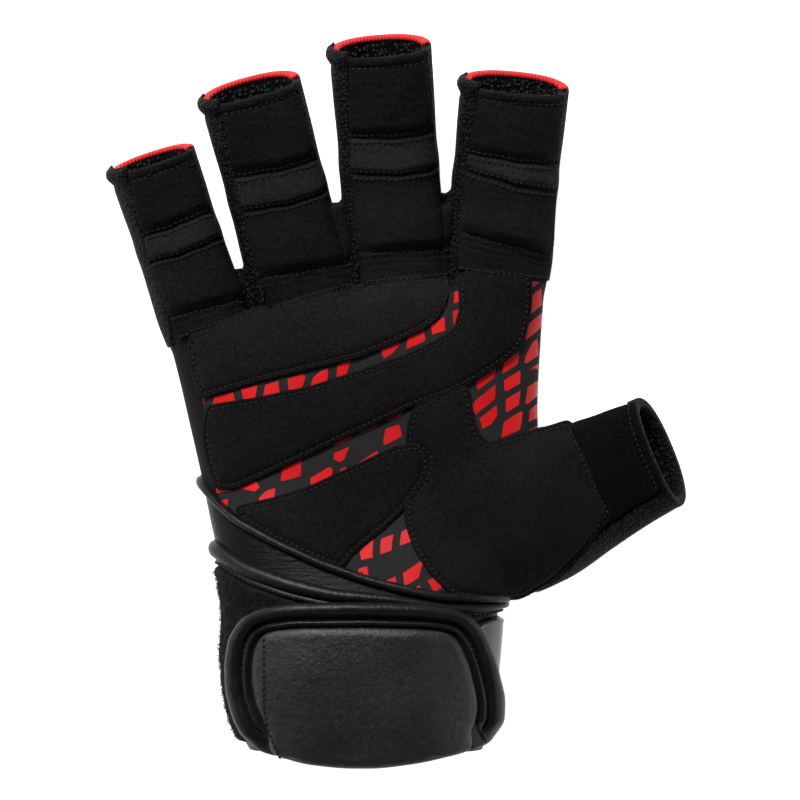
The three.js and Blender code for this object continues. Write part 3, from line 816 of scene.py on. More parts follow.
class Shader:
    """A material whose looks are worked out from the place on the object."""

    def __init__(self, name, **constants):
        self.material = bpy.data.materials.new(name)
        self.material.use_nodes = True
        self.tree = self.material.node_tree
        self.surface = self.tree.nodes["Principled BSDF"]
        for socket, value in constants.items():
            self.surface.inputs[socket.replace("_", " ")].default_value = value
        self.place = self.node("ShaderNodeTexCoord")["Object"]

    def node(self, kind, settings=None, **inputs):
        """Any node: its type, its settings, and the values or wires of its inputs."""
        made = self.tree.nodes.new(kind)
        for key, value in (settings or {}).items():
            setattr(made, key, value)
        for key, value in inputs.items():
            index = int(key[2:]) if key.startswith("in") and key[2:].isdigit() else None
            socket = made.inputs[index if index is not None else key.replace("_", " ")]
            self.feed(socket, value)
        return Outputs(self, made)

    def feed(self, socket, value):
        """Links a wire to a socket, or sets the socket's value."""
        if isinstance(value, Wire):
            self.tree.links.new(value.socket, socket)
        else:
            socket.default_value = value

    def math(self, operation, *values):
        """The result of one operation on values and wires."""
        inputs = {f"in{i}": v for i, v in enumerate(values)}
        return self.node("ShaderNodeMath", {"operation": operation}, **inputs)["Value"]

    def blend(self, share, low, high):
        """A colour between two colours."""
        made = self.tree.nodes.new("ShaderNodeMix")
        made.data_type = "RGBA"
        self.feed(made.inputs[0], share)
        self.feed(made.inputs[6], low)
        self.feed(made.inputs[7], high)
        return Wire(self, made.outputs[2])

    def shades(self, share, colour, low, high):
        """A colour between a darker and a lighter shade of the same."""
        return self.blend(share, tint(colour, low), tint(colour, high))

    def steps(self, value, low, high, to_low=0.0, to_high=1.0):
        """A smooth step of a value from one level to another."""
        return self.node("ShaderNodeMapRange", {"interpolation_type": "SMOOTHSTEP"},
                         Value=value, From_Min=low, From_Max=high, To_Min=to_low,
                         To_Max=to_high)["Result"]

    def noise(self, scale, detail, place=None, roughness=0.5):
        """Cloudy noise from 0 to 1."""
        return self.node("ShaderNodeTexNoise", Vector=place or self.place, Scale=scale,
                         Detail=detail, Roughness=roughness)["Factor"]

    def cells(self, scale, feature, place=None, randomness=1.0, output="Distance"):
        """Cells, by the distance from their middles or edges or by a colour of their own."""
        return self.node("ShaderNodeTexVoronoi", {"feature": feature},
                         Vector=place or self.place, Scale=scale,
                         Randomness=randomness)[output]

    def bands(self, direction, scale, **inputs):
        """Bands side by side."""
        return self.node("ShaderNodeTexWave", {"wave_type": "BANDS", "bands_direction": direction},
                         Vector=self.place, Scale=scale, **inputs)["Factor"]

    def stretched(self, scale, turn=0.0):
        """The place on the object, turned and scaled."""
        return self.node("ShaderNodeMapping", Vector=self.place, Rotation=(0.0, 0.0, turn),
                         Scale=scale)["Vector"]

    def finish(self, colour, roughness=None, height=None, depth=0.0002, strength=1.0):
        """Gives the surface its colour, its roughness and its relief."""
        self.feed(self.surface.inputs["Base Color"], colour)
        if roughness is not None:
            self.feed(self.surface.inputs["Roughness"], roughness)
        if height is not None:
            normal = self.node("ShaderNodeBump", Height=height, Distance=depth,
                               Strength=strength)["Normal"]
            self.feed(self.surface.inputs["Normal"], normal)
        return self.material


class Outputs:
    """The outputs of a node by name."""

    def __init__(self, shader, made):
        self.shader, self.made = shader, made

    def __getitem__(self, name):
        if name == "Factor" and "Factor" not in self.made.outputs:
            name = "Fac"
        return Wire(self.shader, self.made.outputs[name])


MATERIALS = {}


def tint(colour, amount):
    """A colour made darker or lighter, with its alpha."""
    return tuple(min(1.0, c * amount) for c in colour[:3]) + (1.0,)


# Brightness of each copy of the suede: painted light makes the flex sections and the upper palm
# pad lighter, and painted shade makes the thumb's cap darker.
SUEDE_LIGHT_AND_SHADE = {"suede": 0.82, "lit suede": 1.28, "lit upper suede": 1.1, "shaded suede": 0.42}


def make_suedes(colours):
    """Suede in lit and shaded copies: light and shade are painted into their colour, lighter on
    some cuts and darker on others.
    """
    for name, painted_lighting in SUEDE_LIGHT_AND_SHADE.items():
        suede = Shader(name, Roughness=0.85, Specular_IOR_Level=0.09 * painted_lighting)
        nap = suede.noise(1100.0, 6.0, roughness=0.8)
        patch = suede.noise(24.0, 3.0)
        shade = suede.shades(suede.steps(nap * 0.9 + patch * 0.3, 0.45, 0.76),
                             colours.suede, 0.2 * painted_lighting, 2.4 * painted_lighting)
        MATERIALS[name] = suede.finish(shade, None, nap + patch * 0.4, 0.0006, 0.8)


def make_print(colours):
    """The stretch cloth with its rows of printed cells, placed in metres."""
    ground = Shader("printed stretch", Specular_IOR_Level=0.12)
    spread = ground.node("ShaderNodeSeparateXYZ", Vector=ground.place)
    x, y = spread["X"], spread["Y"]
    # rows of cells that bend upwards towards the thumb, as the pads do
    bend = (x - ROW_FEET[0]) * (x - ROW_FEET[1]) * ROW_BEND
    row = y - x * ROW_TILT - bend - ROW_START
    sway = ground.noise(45.0, 1.0)
    laid = ground.node("ShaderNodeCombineXYZ", X=x * CELLS_ACROSS + sway * 0.9,
                       Y=row * CELLS_ALONG + sway * 0.5 + 2.93)["Vector"]
    edge = ground.cells(1.0, "DISTANCE_TO_EDGE", laid, CELL_DISORDER)
    pick = ground.node("ShaderNodeSeparateColor", Color=ground.cells(
        1.0, "F1", laid, CELL_DISORDER, "Color"))["Red"]
    # the print stays on the palm: none on the fingers, the thumb and the left edge
    by_thumb = x > THUMB_SIDE_FROM
    palm = (y - x * 0.158 < PRINT_TOP) * (x < PRINT_RIGHT) * (x + y * 0.155 > PRINT_LEFT)
    palm = palm * (1.0 - by_thumb * (y < PRINT_BOTTOM))
    cell = ground.steps(edge, 0.165, 0.185) * (pick + by_thumb > CELLS_LEFT_OUT) * palm
    weave = ground.noise(900.0, 2.0)
    plain = ground.shades(weave, colours.suede, 0.3, 0.8)
    cloth = ground.blend(palm, plain, ground.shades(weave, colours.ground, 0.7, 1.3))
    shade = ground.blend(cell, cloth, ground.shades(pick, colours.print_red, 0.82, 1.1))
    MATERIALS["print"] = ground.finish(shade, ground.steps(cell, 0, 1, 0.8, 0.45),
                                       cell * 1.2 + weave * 0.3, 0.0002, 0.8)


def make_back(colours):
    """The ribbed cloth of the hand's back."""
    back = Shader("back fabric", Roughness=0.85, Sheen_Weight=0.02, Specular_IOR_Level=0.15)
    rib = back.bands("DIAGONAL", 420.0, Distortion=1.5, Detail=1.0, Detail_Scale=2.0)
    weave = back.noise(700.0, 3.0)
    shade = back.shades(rib * 0.6 + weave * 0.4, colours.knit, 0.6, 1.2)
    MATERIALS["back"] = back.finish(shade, None, rib + weave * 0.5, 0.0003, 0.7)


def make_knits(colours):
    """The knitted mesh of the side strips, and the paler lining."""
    for name, pale in (("knit", 1.0), ("lining", 2.6)):
        knit = Shader(name, Roughness=0.75, Specular_IOR_Level=0.12)
        # the lining is seen along its depth, so its mesh is drawn out that way
        mesh = knit.place if name == "knit" else knit.stretched((1.1, 0.85, 0.7))
        loop = knit.cells(800.0, "F1", mesh, 0.8)
        fuzz = knit.noise(1500.0, 2.0)
        wall = knit.steps(loop, 0.6, 0.2)
        shade = knit.shades(knit.steps(wall * 0.9 + fuzz * 0.35, 0.15, 1.15),
                            colours.knit, 0.02 * pale, 1.7 * pale)
        MATERIALS[name] = knit.finish(shade, None, wall + fuzz * 0.3, 0.0008, 1.0)


def make_binding(colours):
    """The red ribbed binding."""
    binding = Shader("red binding", Roughness=0.65, Specular_IOR_Level=0.2)
    rib = binding.bands("X", 300.0, Distortion=0.6)
    fuzz = binding.noise(900.0, 2.0)
    shade = binding.shades(rib * 0.7 + fuzz * 0.4, colours.binding, 0.6, 1.15)
    MATERIALS["binding"] = binding.finish(shade, None, rib + fuzz * 0.4, 0.0003, 0.8)


def fine_creases(hide):
    """Small creases that run every way."""
    return hide.noise(200.0, 6.0, roughness=0.7)


def drawn_creases(hide):
    """Long creases across the cuff, where it is drawn together."""
    return hide.noise(420.0, 5.0, hide.stretched((0.2, 2.6, 1.0), math.radians(32.0)), 0.65)


def fan_creases(hide):
    """Creases that run out from the lower middle of the flap's panel."""
    at = hide.node("ShaderNodeSeparateXYZ", Vector=hide.place)
    dx, dy = at["X"] - FAN_MIDDLE[0], at["Y"] - FAN_MIDDLE[1]
    turn = hide.math("ARCTAN2", dx, dy)
    far = (dx * dx + dy * dy) ** 0.5
    sway = hide.noise(55.0, 2.0) * 0.030
    fan = hide.node("ShaderNodeCombineXYZ", X=turn * 0.055 + sway, Y=far * 0.75)["Vector"]
    fan = hide.noise(200.0, 4.0, fan, 0.6) * hide.steps(far, 0.006, 0.022) * 0.35
    return fan + hide.noise(330.0, 7.0, roughness=0.75) * 0.6


# Leathers: name, shine, least and most roughness, creases and their depth
LEATHERS = (
    ("leather", 0.15, 0.30, 0.46, fine_creases, 1.6),
    ("cuff leather", 0.07, 0.30, 0.44, drawn_creases, 1.6),
    ("strap leather", 0.55, 0.22, 0.34, fine_creases, 0.3),
    ("flap leather", 0.38, 0.36, 0.52, fan_creases, 3.4),
)


def make_leathers(colours):
    """Grained leather with creases, duller and darker on the cuff."""
    for name, shine, least, most, creases, depth in LEATHERS:
        hide = Shader(name, Specular_IOR_Level=shine)
        pores = hide.cells(1100.0, "F1")
        grain = hide.noise(620.0, 5.0, roughness=0.62)
        cloud = hide.noise(38.0, 3.0)
        shade = hide.shades(hide.steps(grain + cloud * 0.6, 0.5, 1.1), colours.leather, 0.7, 1.3)
        if name == "cuff leather":
            shade = hide.blend(0.6, shade, (0.001, 0.001, 0.001, 1.0))
        rough = hide.steps(grain * 0.5 + cloud * 0.5, 0.3, 0.7, least, most)
        height = creases(hide) * depth + grain * 0.8 + pores * 0.25
        MATERIALS[name] = hide.finish(shade, rough, height, 0.0003, 0.55)


def make_pile(colours):
    """The fuzzy loops of the closure's patch."""
    pile = Shader("loop pile", Roughness=0.95, Sheen_Weight=0.03, Specular_IOR_Level=0.08)
    clump = pile.noise(800.0, 3.0)
    shade = pile.shades(clump, colours.pile, 0.3, 2.2)
    MATERIALS["pile"] = pile.finish(shade, None, clump, 0.0005, 1.0)


def make_thread(colours):
    """Twisted sewing thread."""
    thread = Shader("thread", Roughness=0.7, Specular_IOR_Level=0.12)
    twist = thread.noise(2500.0, 1.0)
    shade = thread.shades(twist, colours.thread, 0.7, 1.3)
    MATERIALS["thread"] = thread.finish(shade, None, twist, 0.0001, 0.5)


def make_floor():
    """The white floor, lit from itself so that it stays evenly pale."""
    floor = Shader("floor", Roughness=0.9, Specular_IOR_Level=0.1,
                   Emission_Color=(1.0, 1.0, 1.0, 1.0), Emission_Strength=FLOOR_GLOW)
    dust = floor.noise(6.0, 2.0)
    MATERIALS["floor"] = floor.finish(
        floor.blend(dust, (0.55, 0.55, 0.55, 1.0), (0.6, 0.6, 0.6, 1.0)))


def make_materials(colours):
    """All the finishes, each worked out in millimetre-sized detail."""
    for make in (make_suedes, make_print, make_back, make_knits, make_binding,
                 make_leathers, make_pile, make_thread):
        make(colours)
    make_floor()


def dress(piece, material, *more):
    """Gives a piece its finishes; each face keeps the number of its own."""
    faces = piece.data.polygons
    numbers = [face.material_index for face in faces]
    piece.data.materials.clear()
    for name in (material, *more):
        piece.data.materials.append(MATERIALS[name])
    faces.foreach_set("material_index", numbers)


def ready(piece, material, slot, *nodes, fill=None):
    """Gives a piece its finish, its body and the CAD nodes that it stands for."""
    if material:
        dress(piece, material)
    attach(piece, "root")
    if nodes:
        piece.name = "sewn_" + nodes[0]
        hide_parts(*nodes)
    return piece


# The pieces
FORM = {}


def prism_piece(outline):
    """A tool that cuts out everything over and under an outline."""
    outline = np.asarray(outline, float)
    count = len(outline)
    points = np.vstack([np.column_stack([outline, np.full(count, level)])
                        for level in (CLEAR_LOW, CLEAR_HIGH)])
    faces = [tuple(range(count)), tuple(reversed(range(count, 2 * count)))]
    faces += [(i, (i + 1) % count, (i + 1) % count + count, i + count) for i in range(count)]
    return new_piece("prism", points, faces, smooth=False)


def half_piece(front):
    """A tool with everything above, or below, the height where palm side and back meet."""
    x = np.linspace(*HALF_TOOL_X, 40)
    y = np.linspace(*HALF_TOOL_Y, 60)
    gx, gy = np.meshgrid(x, y, indexing="ij")
    mid = mid_height(gx, gy) + (HALVES_APART if front else -HALVES_APART)
    far = np.full_like(mid, HALF_TOOL_Z[1] if front else HALF_TOOL_Z[0])
    inner = np.stack([gx, gy, mid], -1)
    outer = np.stack([gx, gy, far], -1)
    return grid_slab("half", inner, outer)


def build_form():
    """The glove's whole skin and its hollow, which all pieces are measured from."""
    if FORM:
        return
    voxel = VOXEL
    outer = [sleeve("hand", 0.0, spacing=1.6)]
    inner = [sleeve("hand", -WALL, start=30.0, end=-WALL, spacing=1.6)]
    for name in STALLS:
        outer.append(sleeve(name, 0.0, spacing=1.2))
        inner.append(sleeve(name, -WALL, end=12.0, spacing=1.2))
    FORM["skin"] = fused(new_piece("skin", *joined_tubes(outer)), voxel, 10)
    FORM["tree"] = tree_of(FORM["skin"])
    FORM["hollow"] = fused(new_piece("hollow", *joined_tubes(inner)), voxel, 8)
    for name in ("skin", "hollow"):
        FORM[name].hide_render = True


def hand_tree(lift):
    """A search tree of the hand's sleeve, lifted by some millimetres."""
    points, faces = sleeve("hand", lift, start=12.0, around=180, spacing=1.0)
    return bvhtree.BVHTree.FromPolygons([Vector(p) for p in points], faces)


def outermost(spots, normals, reach):
    """Moves points on a limb out to the glove's skin where that lies further out."""
    flat = spots.reshape(-1, 3).copy()
    for i, (p, n) in enumerate(zip(flat, normals.reshape(-1, 3))):
        hit, _, _, _ = FORM["tree"].ray_cast(Vector(p + n * reach), Vector(-n), reach)
        if hit is not None:
            flat[i] = hit
    return flat.reshape(spots.shape)


def softened(grid, passes):
    """Evens out a grid of points, with its edges kept."""
    grid = grid.copy()
    for _ in range(passes):
        core = (grid[:-2, 1:-1] + grid[2:, 1:-1] + grid[1:-1, :-2] + grid[1:-1, 2:]) / 4
        grid[1:-1, 1:-1] = 0.5 * grid[1:-1, 1:-1] + 0.5 * core
        grid[0, 1:-1] = 0.5 * grid[0, 1:-1] + 0.25 * (grid[0, :-2] + grid[0, 2:])
        grid[-1, 1:-1] = 0.5 * grid[-1, 1:-1] + 0.25 * (grid[-1, :-2] + grid[-1, 2:])
    return grid


def grid_normals(grid):
    """Unit normals of a grid of points."""
    du = np.gradient(grid, axis=0)
    dv = np.gradient(grid, axis=1)
    n = np.cross(dv, du)
    return n / np.maximum(np.linalg.norm(n, axis=-1, keepdims=True), 1e-9)


def laid_on_form(limb, t, angle, reach, passes=0):
    """A grid on a limb, moved out to the skin and evened, with its normals."""
    base = softened(outermost(limb.point(t, angle), limb.normal(t, angle), reach), passes)
    return base, grid_normals(base)


def arc_across(grid):
    """How far across a grid each of its points lies from the first column, mm."""
    strides = np.linalg.norm(np.diff(grid, axis=1), axis=-1)
    return np.concatenate([np.zeros((len(grid), 1)), np.cumsum(strides, axis=1)], 1)


def side_gap(grid):
    """How far each point of a grid lies from its first or last column, mm."""
    arc = arc_across(grid)
    return np.minimum(arc, arc[:, -1:] - arc)


def raised(name, base, normals, height, bed=0.3):
    """A closed piece that stands over a grid and reaches a little way under it."""
    return grid_slab(name, base + normals * height[..., None], base - normals * bed)


def build_shell(sizes):
    """Palm side, back and cuff, hollow, with their openings."""
    shell = copy_of(FORM["skin"], "shell")
    dress(shell, "print", "lining")
    hollow = copy_of(FORM["hollow"], "hollow_tool")
    dress(hollow, "print", "lining")
    hollow.data.polygons.foreach_set("material_index", [1] * len(hollow.data.polygons))
    cut(shell, hollow, "DIFFERENCE")
    edge = soft_line(place(PALM_EDGE), 1.5, closed=False, step=2.0)
    left, right = PRISM_X
    above, below = (np.vstack([edge, [(right, edge[-1][1]), (right, far), (left, far),
                                      (left, edge[0][1])]]) for far in (PRISM_END, WRIST_END))
    palm = cut(copy_of(shell, "palm_panel"), prism_piece(above), "INTERSECT")
    back = copy_of(palm, "back_panel")
    cut(palm, half_piece(True), "INTERSECT")
    cut(back, half_piece(False), "INTERSECT")
    cuff = cut(shell, prism_piece(below), "INTERSECT")
    fronts, backs = ([f"{side}_{name}" for name in STALLS] for side in ("front", "back"))
    for piece, outside, slot, nodes in (
            (palm, "print", "printed_stretch", ["palm_panel", *fronts]),
            (back, "back", "back_fabric", ["back_panel", *backs]),
            (cuff, "cuff leather", "leather", ["wrist_cuff"])):
        dress(piece, outside, "lining")
        piece.data.shade_smooth()
        ready(piece, None, slot, *nodes)


def knit_width(t):
    """How much of a finger's left side the knitted strip takes, seen from the palm."""
    return 3.7 + 1.5 * ease(0.6, 1.0, t) + 0.5 * ease(0.35, 0.0, t)


def across_angle(limb, t, across):
    """The angle on a limb's palm side at a share of its half width from the middle."""
    square = limb.rings(np.asarray(t, float))[6]
    share = np.clip(np.abs(across), 0, 1)
    return np.sign(across) * np.arcsin(share ** (square / 2))


def finger_grid(name, seam_low, seam_high, bow_low, bow_high):
    """A grid over one padded section of a finger, between two seams."""
    limb = LIMBS[name]
    half = HALF_WIDTHS[name]
    v = np.linspace(0, 1, int(2.6 * half / PAD_STEP))
    low = seam_low[0] + (seam_low[1] - seam_low[0]) * v + bow_low * 4 * v * (1 - v)
    high = seam_high[0] + (seam_high[1] - seam_high[0]) * v + bow_high * 4 * v * (1 - v)
    wobble = 0.3 * np.sin(7.0 * v + limb.unit) + 0.15 * np.sin(19.0 * v + 2.0 * limb.unit)
    low = low + wobble / limb.unit * (0.2 < seam_low[0])
    high = high + wobble / limb.unit * (seam_high[0] < 0.9)
    rows = max(6, int((high - low).mean() * limb.unit / PAD_STEP))
    u = np.linspace(0, 1, rows)[:, None]
    t = low * (1 - u) + high * u
    left = across_angle(limb, t, -(1 - (knit_width(t) - 0.3) / half))
    right = across_angle(limb, t, 1 - (0.6 + 1.3 * ease(0.5, 1.0, t)) / half)
    # even steps of distance across: first even in angle, then evened along the arc
    angle = left + (right - left) * v[None, :]
    arc = arc_across(limb.point(t, angle, 0.3))
    for k in range(rows):
        angle[k] = np.interp(v * arc[k, -1], arc[k], angle[k])
    return t, angle, v


def seam_rise(d, radius):
    """How high a pad stands by its seam, where it is drawn down but not open."""
    return 0.15 + 0.85 * edge_round(d, radius)


def seam_slope(d, reach):
    """How high a pad stands where it sinks down to its seam over a longer reach."""
    return 0.12 + 0.88 * ease(-0.2, reach, d)


def fold_line(name, v):
    """Where the fold at a finger's root crosses it, from its left to its right side."""
    left, right = SEAMS[name][1]
    return left + (right - left) * v


def base_swell(name, t, v, span, pad):
    """The swelling of a finger's base section above its fold, and the folds at its root."""
    fold = fold_line(name, v)
    fold_d = (t - fold) * LIMBS[name].unit
    above = (0.2 + 0.8 * ease(0.0, 4.4, fold_d)) * (
        pad + SECTION_SWELL * np.exp(-1.6 * fold_d / (span - 4.0)))
    swell = np.where(fold_d > 0, above, 0.75 * pad) - pad
    for at, deep, width in ROOT_FOLDS:
        drawn = deep * (INDEX_FOLDS if name == "index" else 1.0)
        swell = swell - drawn * bump(fold_d, at + 0.25 * np.sin(9 * v + at), width)
    return swell


def build_section(name, kind, grid, pad):
    """One padded section of a finger, and the lines that it is sewn along."""
    t, angle, v = grid
    base, normals = laid_on_form(LIMBS[name], t, angle, 6.0, 14)
    low_d = (t - t[0]) * LIMBS[name].unit
    span = low_d[-1]
    high_d = span - low_d
    arc = arc_across(base)
    crown = np.sin(math.pi * np.clip(arc / arc[:, -1:], 0, 1)) ** 0.7
    if kind == "tip_pad":
        swell = SECTION_SWELL * np.exp(-1.7 * low_d / span) - 0.3
        swell = swell - 0.8 * bump(high_d, HEM_SEAM, 0.6) - 0.3 * bump(high_d, 4.4, 1.8)
        rise = seam_slope(low_d, 4.6) * (0.3 + 0.7 * edge_round(high_d, 1.0))
    elif kind == "flex_pad":
        swell = SECTION_SWELL * (1 - low_d / span) - 0.4
        rise = seam_slope(low_d, 2.4) * seam_rise(high_d, 1.0)
    else:
        swell = base_swell(name, t, v, span, pad)
        rise = seam_rise(low_d, 1.2) * seam_rise(high_d, 1.0)
    wave = noise_at(base.reshape(-1, 3), 9.0, 3).reshape(t.shape)
    fine = noise_at(base.reshape(-1, 3) * (1.0, 2.2, 1.0), 3.2, 5).reshape(t.shape)
    height = edge_round(side_gap(base), 1.3) * rise * (
        pad + (0.25 + 0.75 * crown) * swell + 0.16 * wave + 0.08 * fine)
    height = np.maximum(height, 0.05)
    piece = raised(f"{kind}_{name}", base, normals, height, 0.25)
    # the flex sections get the suede with painted light, lighter than the rest
    ready(piece, "lit suede" if kind == "flex_pad" else "suede", "suede",
          f"{kind}_{name}", fill=0.7)
    top = base + normals * height[..., None]
    for side, inset in SECTION_SEAMS[kind]:
        if side == "fold":
            gap = np.abs((t - fold_line(name, v)) * LIMBS[name].unit - inset)
        else:
            gap = np.abs((low_d if side == "low" else high_d) - inset)
        keep_row(top, normals, np.argmin(gap, axis=0))


def keep_row(top, normals, rows):
    """Keeps a line across a grid, one row number for each column, to be sewn along."""
    columns = np.arange(top.shape[1])[3:-3]
    FORM["rows"].append((top[rows[columns], columns], normals[rows[columns], columns]))


def build_finger_pads(sizes):
    """The three padded suede sections of each finger."""
    FORM["rows"] = []
    for name in FINGERS:
        unit, seams = LIMBS[name].unit, SEAMS[name]
        tucked = tuple(share - TUCKED_UNDER / unit for share in seams[0])
        rim = (1.0 + PAST_OPENING / unit,) * 2
        for kind, low, high, bow_low, bow_high in (
                ("base_pad", tucked, seams[2], 0.0, -SEAM_BOW),
                ("flex_pad", seams[2], seams[3], -SEAM_BOW, SEAM_BOW),
                ("tip_pad", seams[3], rim, SEAM_BOW, 0.0)):
            build_section(name, kind, finger_grid(name, low, high, bow_low, bow_high),
                          sizes.finger_pad / MM)


# Where each knitted strip starts between the pads, as a share of its finger
KNIT_STARTS = {"little": -0.03, "ring": -0.06, "middle": -0.04, "index": -0.13}


def build_knits(sizes):
    """Knitted strips on the left of the fingers, and narrow trims on their right."""
    for name in FINGERS:
        limb = LIMBS[name]
        half = HALF_WIDTHS[name]
        first, last = KNIT_STARTS[name], 1.0 + KNIT_PAST_RIM / limb.unit
        t = np.linspace(first, last, int(limb.unit / KNIT_STEP))[:, None]
        wide = knit_width(t) * (0.45 + 0.55 * ease(first, 0.12, t))
        inner = across_angle(limb, t, -(1 - wide / half))
        outer = np.full_like(inner, math.radians(-KNIT_EDGE))
        angle = outer + (inner - outer) * np.linspace(0, 1, 22)[None, :]
        base, normals = laid_on_form(limb, t, angle, 4.0, 4)
        end = (last - t) * limb.unit
        height = edge_round(side_gap(base), 1.0) * (0.65 + 1.1 * bump(end, 2.4, 1.9)
                                                    - 0.4 * bump(end, 5.4, 0.8))
        height = height * edge_round(end, 1.0) + 0.05
        piece = raised(f"side_knit_{name}", base, normals, height)
        ready(piece, "knit", "side_knit", f"side_knit_{name}")
        # the narrow trim where suede and back fabric meet on the right
        t = np.linspace(0.02, 1.0 + TRIM_PAST_RIM / limb.unit,
                        int(limb.unit / KNIT_STEP))[:, None]
        inner = across_angle(limb, t, 1 - (0.9 + 1.3 * ease(0.5, 1.0, t)) / half)
        angle = inner + (math.radians(TRIM_EDGE) - inner) * np.linspace(0, 1, 14)[None, :]
        base, normals = laid_on_form(limb, t, angle, 4.0)
        height = 0.05 + 0.6 * edge_round(side_gap(base), 1.0)
        piece = raised(f"side_trim_{name}", base, normals, height)
        ready(piece, "knit", "side_knit")


def rim_ring(name, angles, profile, end, slim=0.0):
    """Sections of a bound rim round a limb's opening, slimmer towards the palm."""
    limb = LIMBS[name]
    out = limb.point(limb.t1, angles, 0.0)
    grown = limb.point(limb.t1, angles, 1.0) - out
    way = grown / np.linalg.norm(grown, axis=-1, keepdims=True)
    ahead = limb.point(limb.t1 + 1.0 / limb.unit, angles, 0.0) - out
    ahead /= np.linalg.norm(ahead, axis=-1, keepdims=True)
    stout = (1 - slim * np.clip(np.cos(angles), 0, 1))[:, None, None]
    return (out[:, None, :] + way[:, None, :] * profile[None, :, 0:1] * stout
            + ahead[:, None, :] * (profile[None, :, 1:2] + end[:, None, None]))


def swept(name, spots, closed):
    """A closed piece from sections in a row."""
    count, around = spots.shape[:2]
    points = spots.reshape(-1, 3)
    faces = []
    for i in range(count if closed else count - 1):
        for j in range(around):
            a, b = i * around + j, i * around + (j + 1) % around
            k = (i + 1) % count
            faces.append((a, b, k * around + (j + 1) % around, k * around + j))
    if not closed:
        faces.append(tuple(range(around))[::-1])
        faces.append(tuple((count - 1) * around + j for j in range(around)))
    return new_piece(name, points, faces)


def capsule_profile(inner, outer, low, high, round_by):
    """A rounded rectangle, from inner to outer and from low to high."""
    points = []
    for cx, cy, start in ((outer - round_by, high - round_by, 0.0),
                          (inner + round_by, high - round_by, 90.0),
                          (inner + round_by, low + round_by, 180.0),
                          (outer - round_by, low + round_by, 270.0)):
        for k in range(CORNER_STEPS + 1):
            a = math.radians(start + 90.0 * k / CORNER_STEPS)
            points.append((cx + round_by * math.cos(a), cy + round_by * math.sin(a)))
    return np.array(points)


# A binding folded over the back's edge, mostly on its outside: out from the wall, and along
BINDING_PROFILE = np.array([
    (0.70, -2.9), (0.75, -1.5), (0.75, 0.2), (0.55, 0.65), (0.1, 0.85), (-0.7, 0.85),
    (-1.5, 0.8), (-2.0, 0.55), (-2.15, 0.1), (-2.1, -0.4), (-1.85, -0.6), (-1.6, -0.4),
    (-1.5, 0.0), (-0.7, 0.05), (0.05, 0.0), (0.1, -1.5), (0.15, -2.9),
])


def build_bindings(sizes):
    """Red binding round the back of each finger's opening, and the thumb's bound rim."""
    angles = np.radians(np.linspace(*BINDING_ARC, 90))
    for name in FINGERS:
        ring = rim_ring(name, angles, BINDING_PROFILE, back_reach(name, angles))
        piece = swept(f"finger_binding_{name}", ring, False)
        ready(piece, "binding", "red_binding", f"finger_binding_{name}")
    angles = np.radians(np.linspace(0, 360, 160, endpoint=False))
    profile = capsule_profile(inner=-WALL - 0.4, outer=1.1, low=-3.0, high=0.8, round_by=0.8)
    ring = rim_ring("thumb", angles, profile, 1.8 * back_reach("thumb", angles), 0.45)
    piece = swept("thumb_binding", ring, True)
    ready(piece, "knit", "rim_knit", "thumb_binding")


def evened(heights, faces, passes):
    """Evens out the heights of a mesh's points, each with those that it is joined to."""
    links = {}
    for face in faces:
        for a, b in edges_of(face):
            links.setdefault(a, set()).add(b)
            links.setdefault(b, set()).add(a)
    starts = np.repeat(np.arange(len(heights)), [len(links[i]) for i in range(len(heights))])
    ends = np.concatenate([sorted(links[i]) for i in range(len(heights))])
    degree = np.bincount(starts, minlength=len(heights))
    for _ in range(passes):
        mean = np.bincount(starts, heights[ends], len(heights)) / degree
        heights = 0.4 * heights + 0.6 * mean
    return heights


def upward_normals(points, faces):
    """Unit normals of a triangle mesh at its points, all on the upper side."""
    tri = np.array(faces)
    cross = np.cross(points[tri[:, 1]] - points[tri[:, 0]], points[tri[:, 2]] - points[tri[:, 0]])
    normals = np.zeros_like(points)
    for k in range(3):
        np.add.at(normals, tri[:, k], cross)
    normals /= np.linalg.norm(normals, axis=1, keepdims=True)
    normals *= np.sign(normals[:, 2:3])
    return normals


def palm_pad(name, outline, thickness, tree, puff=0.0, seam=None, edge=1.1, step=0.7,
             smooth=24, floor_drop=0.5):
    """A pad cut to an outline and laid on a surface; with a seam, it puffs up inside that."""
    spots, faces, border = cut_cloth(outline, step)
    heights, _ = dropped(tree, spots)
    base = np.column_stack([spots, evened(heights, faces, smooth)])
    normals = upward_normals(base, faces)
    gap, along = edge_distance(spots, border)
    wave = noise_at(base, 16.0, 11)
    fine = noise_at(base, 4.5, 12)
    body = thickness + 0.16 * wave + 0.05 * fine * np.exp(-gap / 4)
    if seam is not None:
        body = body + puff * (1 - np.exp(-np.maximum(gap - seam, 0) / PUFF_REACH))
        body = body - 0.45 * thickness * bump(gap, seam, 0.6)
        body = body + PUCKER * np.cos(2 * math.pi * along / PUCKER_PITCH) * bump(gap, seam, 1.2)
    height = edge_round(gap, edge) * body
    top = base + normals * (PAD_LIFT + np.maximum(height, 0.05))[:, None]
    piece = slab(name, top, faces, base - normals * floor_drop)
    FORM[name] = tree_of(piece)
    return piece, border


def build_palm_pads(sizes):
    """The stitched suede pads of the palm and the thumb."""
    FORM["lines"] = []
    thickness = sizes.palm_pad / MM
    for name, outline in OUTLINES.items():
        line = soft_line(place(outline))
        piece, border = palm_pad(name, line - PAD_GROWN * inward(line),
                                 thickness * SEAM_SHARE, FORM["tree"], PAD_PUFF, PAD_SEAM)
        # the upper palm pad gets the suede with painted light, lighter than the other pads
        ready(piece, "lit upper suede" if name == "upper_palm_pad" else "suede", "suede", name,
              fill=0.6)
        FORM["lines"].append((name, shrunk(border, PAD_SEAM, 0.5), True))


def thumb_knit_share(t):
    """How much of the thumb's half width the knitted strip on its lower side takes."""
    return 0.36 * ease(1.3, 2.9, t)


